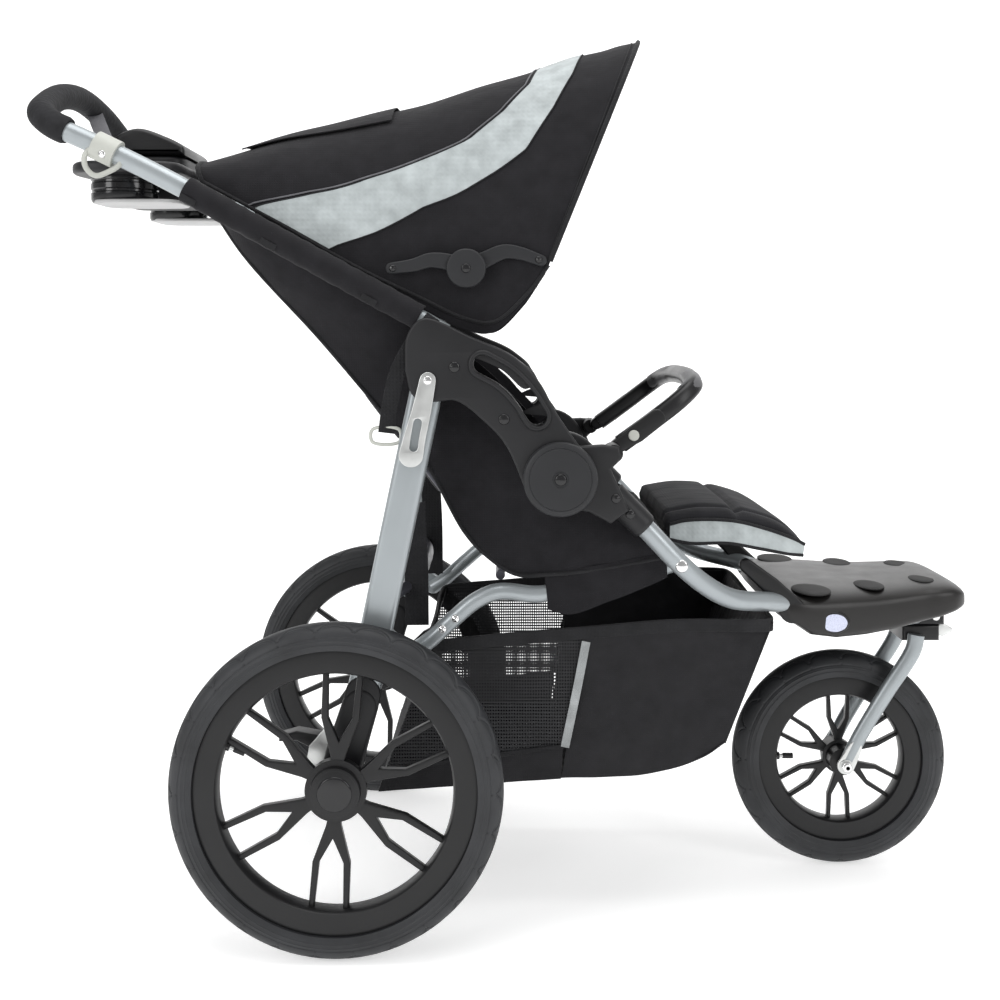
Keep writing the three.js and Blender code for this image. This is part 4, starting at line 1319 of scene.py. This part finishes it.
canopy_cord("panel_piping_rear", canopy_line(panel_rear, -0.07, 1), 1.1, piping_grey)
canopy_cord("panel_seam_rear", canopy_line(panel_rear, 0.0, 1.1), 0.9, binding)
canopy_cord("panel_seam_front", canopy_line(panel_front, 0.0, 1.1), 0.9, binding)
canopy_cord("hem_front", canopy_line(lambda d: 7, -0.01, 0), 3.2, binding)
canopy_cord("hem_seam", canopy_line(lambda d: 6.72, 0, 0.4), 1.0, binding)
canopy_cord("hem_rear", canopy_line(lambda d: 0.04, 0, 0), 3.0, binding)
lower = [canopy_point(s, 0.3, 0) for s in np.linspace(0.02, 6.98, 90)]
canopy_cord("hem_lower_right", lower, 2.4, binding)
canopy_cord("hem_lower_left", [(x, -y, z) for x, y, z in lower], 2.4, binding)
flap = canopy_patch("window_flap", lambda d: 0.55, lambda d: 2.35, np.linspace(54, 126, 61), 30,
                    black_cloth, 1.6, 4.0)
cloth(flap, 0.3, "laid", "canopy_shell")
print("canopy trim fitted")

# %% [markdown]
# Two bows hold the shell, and a flat strut on each side sets its angle. The struts turn on a
# big disc rivet. The rear strut belongs to the handle, and the front one to the front bow.

# %% Bows and struts
front_bow = [canopy_point(6.93, d, -9) for d in np.linspace(2, 178, 60)]
install(sweep("bow_front", front_bow, circle((0, 0), 4, 14), black_satin), "canopy_front",
        "black_plastic", "canopy_front_bow")
rear_bow = [canopy_point(0.1, d, -9) for d in np.linspace(2, 178, 60)]
install(sweep("bow_rear", rear_bow, circle((0, 0), 4, 14), black_satin), "upper_frame",
        "black_plastic", "canopy_rear_bow")
REAR_STRUT = [(-53, 824), (-76, 832), (-98, 834), (-118, 828), (-146, 824)]
FRONT_STRUT = [(-53, 824), (-28, 836), (-6, 845), (14, 843), (40, 834)]
for word, side in SIDES:
    rear_line = flat_line(REAR_STRUT, 4)
    rear = side_plate(f"strut_rear_{word}", [capsule(rear_line,
                      np.linspace(11.5, 7, len(rear_line)))], side, 219.4, 224.8, grey_moulded, 2)
    disc = turned(f"strut_disc_{word}", rounded_disc(24.5, side * 224, side * 230.5, 2.5, 1),
                  CANOPY_XZ, 0, grey_moulded, 64)
    install(weld(f"canopy_strut_rear_{word}", [rear, disc]), "upper_frame", "grey_plastic",
            f"canopy_rear_arm_{word}")
    front_line = flat_line(FRONT_STRUT, 4)
    front = side_plate(f"canopy_strut_front_{word}", [capsule(front_line,
                       np.linspace(11.5, 7, len(front_line)))], side, 213.4, 218.8,
                       grey_moulded, 2)
    install(front, "canopy_front", "grey_plastic", f"canopy_front_arm_{word}")
    centre = rivet(f"strut_rivet_{word}", CANOPY_XZ, side, 230, 6, gloss_black, 3)
    end = rivet(f"strut_end_rear_{word}", (-144, 824), side, 224, 4.5, gloss_black, 3)
    install(weld(f"strut_rivets_{word}", [centre, end]), "upper_frame", "black_plastic")
    tip = rivet(f"strut_end_front_{word}", (37, 835), side, 218.4, 4.5, gloss_black, 3)
    install(tip, "canopy_front", "black_plastic")
print("canopy frame fitted")

# %% [markdown]
# ## Seat
# The sides of the seat are one panel of cloth each, sewn to the handle sleeve above and to the seat
# below. The frame folds through it.

# %% Side cloth
TOP_EDGE = [(-392, 230, 927), (-290, 230, 868), (-190, 227, 811), (-100, 214, 752),
            (-30, 209, 700), (30, 207, 640), (80, 206, 590), (130, 206, 540), (196, 208, 490)]
LOW_EDGE = [(-378, 190, 908), (-335, 184, 842), (-240, 181, 737), (-161, 181, 644),
            (-104, 182, 577), (-56, 184, 492), (-30, 186, 464), (8, 191, 440), (50, 210, 443),
            (110, 214, 450), (197, 211, 465)]


def side_bulge(side):
    def bulge(u, t):
        swell = math.sin(math.pi * t) * (2 + 5 * math.sin(math.pi * u))
        crease = 2.0 * math.sin(18 * u + 5 * t) * math.sin(math.pi * t) ** 0.6
        return (0, side * (swell + crease), 0)
    return bulge


for word, side in SIDES:
    rows = between(mirrored(TOP_EDGE, side), mirrored(LOW_EDGE, side), 110, 46,
                   side_bulge(side))
    sheet = grid_sheet(f"side_cloth_{word}", rows, black_cloth, 1.8, (3.0, 55), 4.0)
    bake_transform(sheet)
    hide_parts(f"seat_wing_{word}", f"side_panel_{word}")
    cloth(sheet, 0.7, "stretched", f"sleeve_{word}")
    edge = smooth_line(mirrored([(x, y + 1.5, z) for x, y, z in LOW_EDGE], side), 6)
    piping = sweep(f"side_piping_{word}", edge, circle((0, 0), 2.6, 10), binding)
    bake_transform(piping)
    apron_top = [(44, 209, 446), (110, 216, 455), (196, 213, 470)]
    apron_low = [(49, 216, 400), (75, 217, 394), (120, 217, 409), (165, 217, 426),
                 (197, 214, 440)]
    apron = grid_sheet(f"seat_apron_{word}", between(mirrored(apron_top, side),
                       mirrored(apron_low, side), 40, 12), black_cloth, 1.8, (2.5, 30), 7.0)
    install(apron, "front_frame", "black_fabric")
    cloth(apron, 0.17, "hung", f"side_cloth_{word}")
print("side cloth fitted")

# %% [markdown]
# The pads are foam in a sewn cover. `pad` sweeps a rounded section along the pad's own line
# and pinches it at each seam, which is what quilting does to foam. Cloth simulation with
# pressure would give softer creases. This version shapes the pads directly and runs none.

# %% Seat pads
def pad(name, line, half, thickness, material, seams=(), side_seams=(), power=4.5):
    pts = smooth_line([(x, 0, z) for x, z in line], 5)
    turn = np.gradient(pts, axis=0)
    turn /= np.linalg.norm(turn, axis=1)[:, None]
    thick = np.interp(np.linspace(0, 1, len(pts)), np.linspace(0, 1, len(thickness)), thickness)
    travel = np.r_[0, np.cumsum(np.linalg.norm(np.diff(pts, axis=0), axis=1))]
    rings = []
    for p, t, h, d in zip(pts, turn, thick, travel):
        end = min(d, travel[-1] - d) / 9
        roll = min(end, 1) if end < 1 else 1
        grow = 0.35 + 0.65 * math.sqrt(1 - (1 - roll) ** 2)
        pinch = 1 - sum(0.34 * math.exp(-((d - s) / 5) ** 2) for s in seams)
        normal = np.array([-t[2], 0, t[0]])
        ring = []
        for k in range(96):
            a = 2 * math.pi * k / 96
            c, s = math.cos(a), math.sin(a)
            y = math.copysign(abs(c) ** (2 / power), c) * (half - 4 * (1 - grow))
            w = math.copysign(abs(s) ** (2 / power), s) * h / 2 * grow * pinch
            for seam in side_seams:
                w *= 1 - 0.3 * math.exp(-((abs(y) - seam) / 5) ** 2)
            ring.append(tuple(p + normal * w + np.array([0, y, 0])))
        rings.append(ring)
    return loft(name, rings, material, 60)


SEAT_HALF = 165
cushion = pad("seat_base_pad", [(33, 463), (110, 474), (196, 488)], SEAT_HALF, [34, 38, 38],
              seat_cloth, seams=(52, 108), side_seams=(112,))
install(cushion, "front_frame", "seat_padding", "seat_cushion")
leg_rest = pad("leg_rest_pad", [(200, 494), (250, 500), (300, 497), (350, 483), (376, 464)],
               167, [42, 46, 44, 38, 24], seat_cloth, seams=(92,), side_seams=(140,))
install(leg_rest, "front_frame", "seat_padding", "leg_pad")
lean = math.radians(37.2)
RISE = (-math.sin(lean), math.cos(lean))
FACE = (math.cos(lean), math.sin(lean))


def on_back(length, depth):
    return (-14 + RISE[0] * length + FACE[0] * depth, 436 + RISE[1] * length + FACE[1] * depth)


back_pad = pad("back_rest_pad", [on_back(18, 11), on_back(260, 11), on_back(510, 10)], 167,
               [27, 27, 24], seat_cloth, seams=(105, 190, 275, 360, 430), side_seams=(100,))
install(back_pad, "backrest", "seat_padding", "backrest_pad")
hinge = tube("seat_hinge_rod", [(-11, -178, 436), (-11, 0, 436), (-11, 178, 436)], 6, dark_tube,
             18)
stays = [tube(f"hinge_arm_{word}", [(x, side * 174.5, z) for x, z in
              (on_back(0, 10), on_back(100, 10), on_back(200, 10))], 5, dark_tube, 16)
         for word, side in SIDES]
install(weld("seat_hinge_frame", [hinge] + stays), "seat_hinge", "dark_tube", "back_hinge_bar")
for word, side in SIDES:
    upper = [(206, 167.5, 499), (226, 168.5, 504), (282, 169, 504), (327, 169, 494),
             (366, 168, 480), (379, 165, 473)]
    lower_line = [(206, 167.5, 480), (231, 168.5, 475), (282, 169, 475), (321, 169, 468),
                  (360, 168, 461), (377, 165, 459)]
    band = grid_sheet(f"leg_band_{word}", between(mirrored(upper, side),
                      mirrored(lower_line, side), 60, 10), silver_cloth, 1.4, (0.8, 40), 9.0)
    install(band, "front_frame", "silver_tape")
    cloth(band, 0.18, "stretched", "leg_rest_pad")
    cords = [sweep(f"leg_cord_{word}_{k}", smooth_line(mirrored(edge, side), 5),
             circle((0, 0), 2.2, 10), binding) for k, edge in enumerate((upper, lower_line))]
    install(weld(f"leg_cords_{word}", cords), "front_frame", "black_fabric")
print("pads fitted")

# %% [markdown]
# ## Basket
# The basket hangs under the seat. Its rear half is open net, so the far side shows through,
# and its front half is solid cloth. A silver reflective tape covers the join.

# %% Basket
BASKET = 178
net_top = [(-97, BASKET, 350), (0, BASKET, 359), (99, BASKET, 367)]
net_low = [(-160, BASKET, 180), (-40, BASKET, 200), (68, BASKET, 216)]
solid_top = [(97, BASKET, 367), (211, BASKET, 377), (337, BASKET, 376)]
solid_low = [(67, BASKET, 178), (176, BASKET, 183), (248, BASKET, 204), (275, BASKET, 222)]
skirt_top = [(-158, BASKET, 186), (-40, BASKET, 205), (69, BASKET, 219)]
skirt_low = [(-166, BASKET, 161), (-40, BASKET, 170), (66, BASKET, 177)]
PROFILE = [(-166, 161), (-40, 170), (66, 177), (176, 183), (248, 204), (275, 222)]


def basket_sheet(name, first, second, rows, columns, material, ripple, bulge=None, seed=3.0):
    piece = grid_sheet(name, between(first, second, rows, columns, bulge), material, 1.4,
                       ripple, seed)
    install(piece, "front_frame", "basket_mesh")
    length = float(round(np.linalg.norm(np.subtract(first[0], first[-1])) * MM, 3))
    cloth(piece, length, "hung", "basket_top_binding")
    return piece


for word, side in SIDES:
    basket_sheet(f"basket_net_{word}", mirrored(net_top, side), mirrored(net_low, side), 60, 36,
                 fine_mesh, (2, 60))
    basket_sheet(f"basket_side_{word}", mirrored(solid_top, side), mirrored(solid_low, side),
                 60, 36, basket_cloth, (4, 50))
    basket_sheet(f"basket_skirt_{word}", mirrored(skirt_top, side), mirrored(skirt_low, side),
                 60, 8, basket_cloth, (2, 40))
    tape = strap(f"basket_tape_{word}", mirrored([(98, 181, 352), (88, 181.5, 300),
                 (71, 181, 218)], side), 11, 1.2, silver_tape, (1, 0, 0))
    install(tape, "front_frame", "silver_tape")
    seam = strap(f"basket_seam_{word}", mirrored([(-158, 180.5, 186), (-40, 181, 205),
                 (70, 181, 219)], side), 5, 1.2, binding, (0, 0, 1))
    install(seam, "front_frame", "black_fabric")
first = mirrored([(x, BASKET, z) for x, z in PROFILE], -1)
second = mirrored([(x, BASKET, z) for x, z in PROFILE], 1)
basket_sheet("basket_floor", first, second, 70, 40, basket_cloth, (0, 50),
             lambda u, t: (0, 0, 1.5 + 2 * math.sin(9 * t) * math.sin(7 * u)))
front_top = [(336, -BASKET, 376), (337, 0, 374), (336, BASKET, 376)]
front_low = [(275, -BASKET, 222), (276, 0, 221), (275, BASKET, 222)]
basket_sheet("basket_front", front_top, front_low, 40, 30, basket_cloth, (0, 50))
rear_top = [(-97, -BASKET, 349), (-99, 0, 346), (-97, BASKET, 349)]
rear_low = [(-165, -BASKET, 162), (-166, 0, 161), (-165, BASKET, 162)]
basket_sheet("basket_rear", rear_top, rear_low, 40, 30, fine_mesh, (0, 50))
LOOP = [(-97, -178.5, 346), (0, -179, 355), (99, -179, 363), (211, -179, 372),
        (330, -178, 372), (337, -165, 371), (338, 0, 369), (337, 165, 371), (330, 178, 372),
        (211, 179, 372), (99, 179, 363), (0, 179, 355), (-97, 178.5, 346), (-102, 165, 344),
        (-103, 0, 341), (-102, -165, 344)]
top_line = smooth_line(LOOP, 8, closed=True)
top_ring = [(-8, -1.2), (-7, -2), (7, -2), (8, -1.2), (8, 1.2), (7, 2), (-7, 2), (-8, 1.2)]
top_binding = sweep("basket_top_binding", top_line, top_ring, binding, across=(0, 0, 1),
                    closed=True)
install(top_binding, "front_frame", "basket_mesh", "basket")
print("basket fitted")

# %% [markdown]
# ## Bumper bar
# The child's bumper bar is a moulded loop of oval section with a grey touch pad at each
# corner. It clicks into the lugs, and an ivory button on each arm lets it go.

# %% Bumper bar
BAR = [(140, 196, 604), (180, 196, 633), (214, 193, 659), (232, 176, 674), (240, 120, 682),
       (242, 0, 685)]
bar_line = smooth_line(both_ways(BAR), 5)
bar_ring = [(u * 11.4, v * 11.6) for u, v in oval((0, 0), 1, 1, 2.8, 28)]
bar = sweep("bumper_bar", bar_line, bar_ring, black_satin)
install(bar, "arm_bar", "black_plastic", "arm_bar")
for word, side in SIDES:
    arm_tip = side_plate(f"bumper_tip_{word}", [capsule([(136, 602), (160, 618), (186, 638)],
                         [9, 11.5, 11])], side, 190, 207.5, black_satin, 3)
    install(arm_tip, "arm_bar", "black_plastic")
    grip = tube(f"bumper_pad_{word}", mirrored([(222, 187, 667), (233, 174, 675),
                (238.5, 140, 680.5), (241, 90, 684)], side), 12.3, pad_grey, 28, 3,
                lambda t: 0.93 + 0.07 * math.sin(math.pi * t) ** 0.4)
    install(grip, "arm_bar", "grey_plastic")
    button = turned(f"bumper_button_{word}", rounded_disc(6.8, side * 203.6, side * 210.4, 1.5),
                    (156, 616), 0, ivory, 32)
    install(button, f"arm_bar_button_{word}", "ivory_plastic", f"arm_bar_button_{word}")
print("bumper bar fitted")

# %% [markdown]
# ## Webbing
# Ribbed nylon webbing holds the seat back to the handle. Each strap is a flat band swept along
# its run, with an ivory slider at its end. A five-point harness lies on the seat.

# %% Straps
for word, side in SIDES:
    run = mirrored([(-92, 250, 764), (-112, 256, 738), (-134, 254, 699), (-145, 248, 655),
                    (-150, 243, 622)], side)
    install(strap(f"recline_strap_{word}", run, 20, 1.8, webbing, (1, 0, 0.5)), "upper_frame",
            "webbing")
    frame_line = [(x, side * 243, z) for x, z in
                  [(-167, 611), (-134, 611), (-134, 626), (-167, 626)]]
    slider = sweep(f"strap_slider_{word}", smooth_line(frame_line, 3, closed=True),
                   circle((0, 0), 2.2, 10), ivory, closed=True)
    install(slider, "upper_frame", "ivory_plastic")
    hang = mirrored([(-122, 176, 528), (-118, 178, 450), (-117, 176, 372)], side)
    install(strap(f"basket_hanger_{word}", hang, 30, 1.8, webbing, (1, 0, 0)), "rear_frame",
            "webbing")
    chest = [(*on_back(430, 26), 55), (*on_back(300, 27), 52), (*on_back(150, 27), 42),
             (*on_back(60, 28), 24)]
    harness = strap(f"shoulder_strap_{word}", [(x, side * y, z) for x, z, y in chest], 26, 2,
                    webbing, (0, 1, 0))
    install(harness, "backrest", "webbing")
    cover = strap(f"shoulder_cover_{word}", [(x, side * y, z) for x, z, y in
                  [(*on_back(410, 28), 54), (*on_back(330, 30), 53), (*on_back(250, 29), 50)]],
                  44, 7, seat_cloth, (0, 1, 0))
    install(cover, "backrest", "seat_padding")
buckle = loft("harness_buckle", [[(x, y, z) for x, y in oval((64, 0), w, w * 0.85)] for w, z in
              [(20, 486), (23, 489), (23, 497), (19, 501)]], black_satin)
install(buckle, "front_frame", "black_plastic")
crotch = strap("crotch_strap", [(110, 0, 495), (96, 0, 495), (80, 0, 492)], 34, 2, webbing)
install(crotch, "front_frame", "webbing")
print("straps fitted")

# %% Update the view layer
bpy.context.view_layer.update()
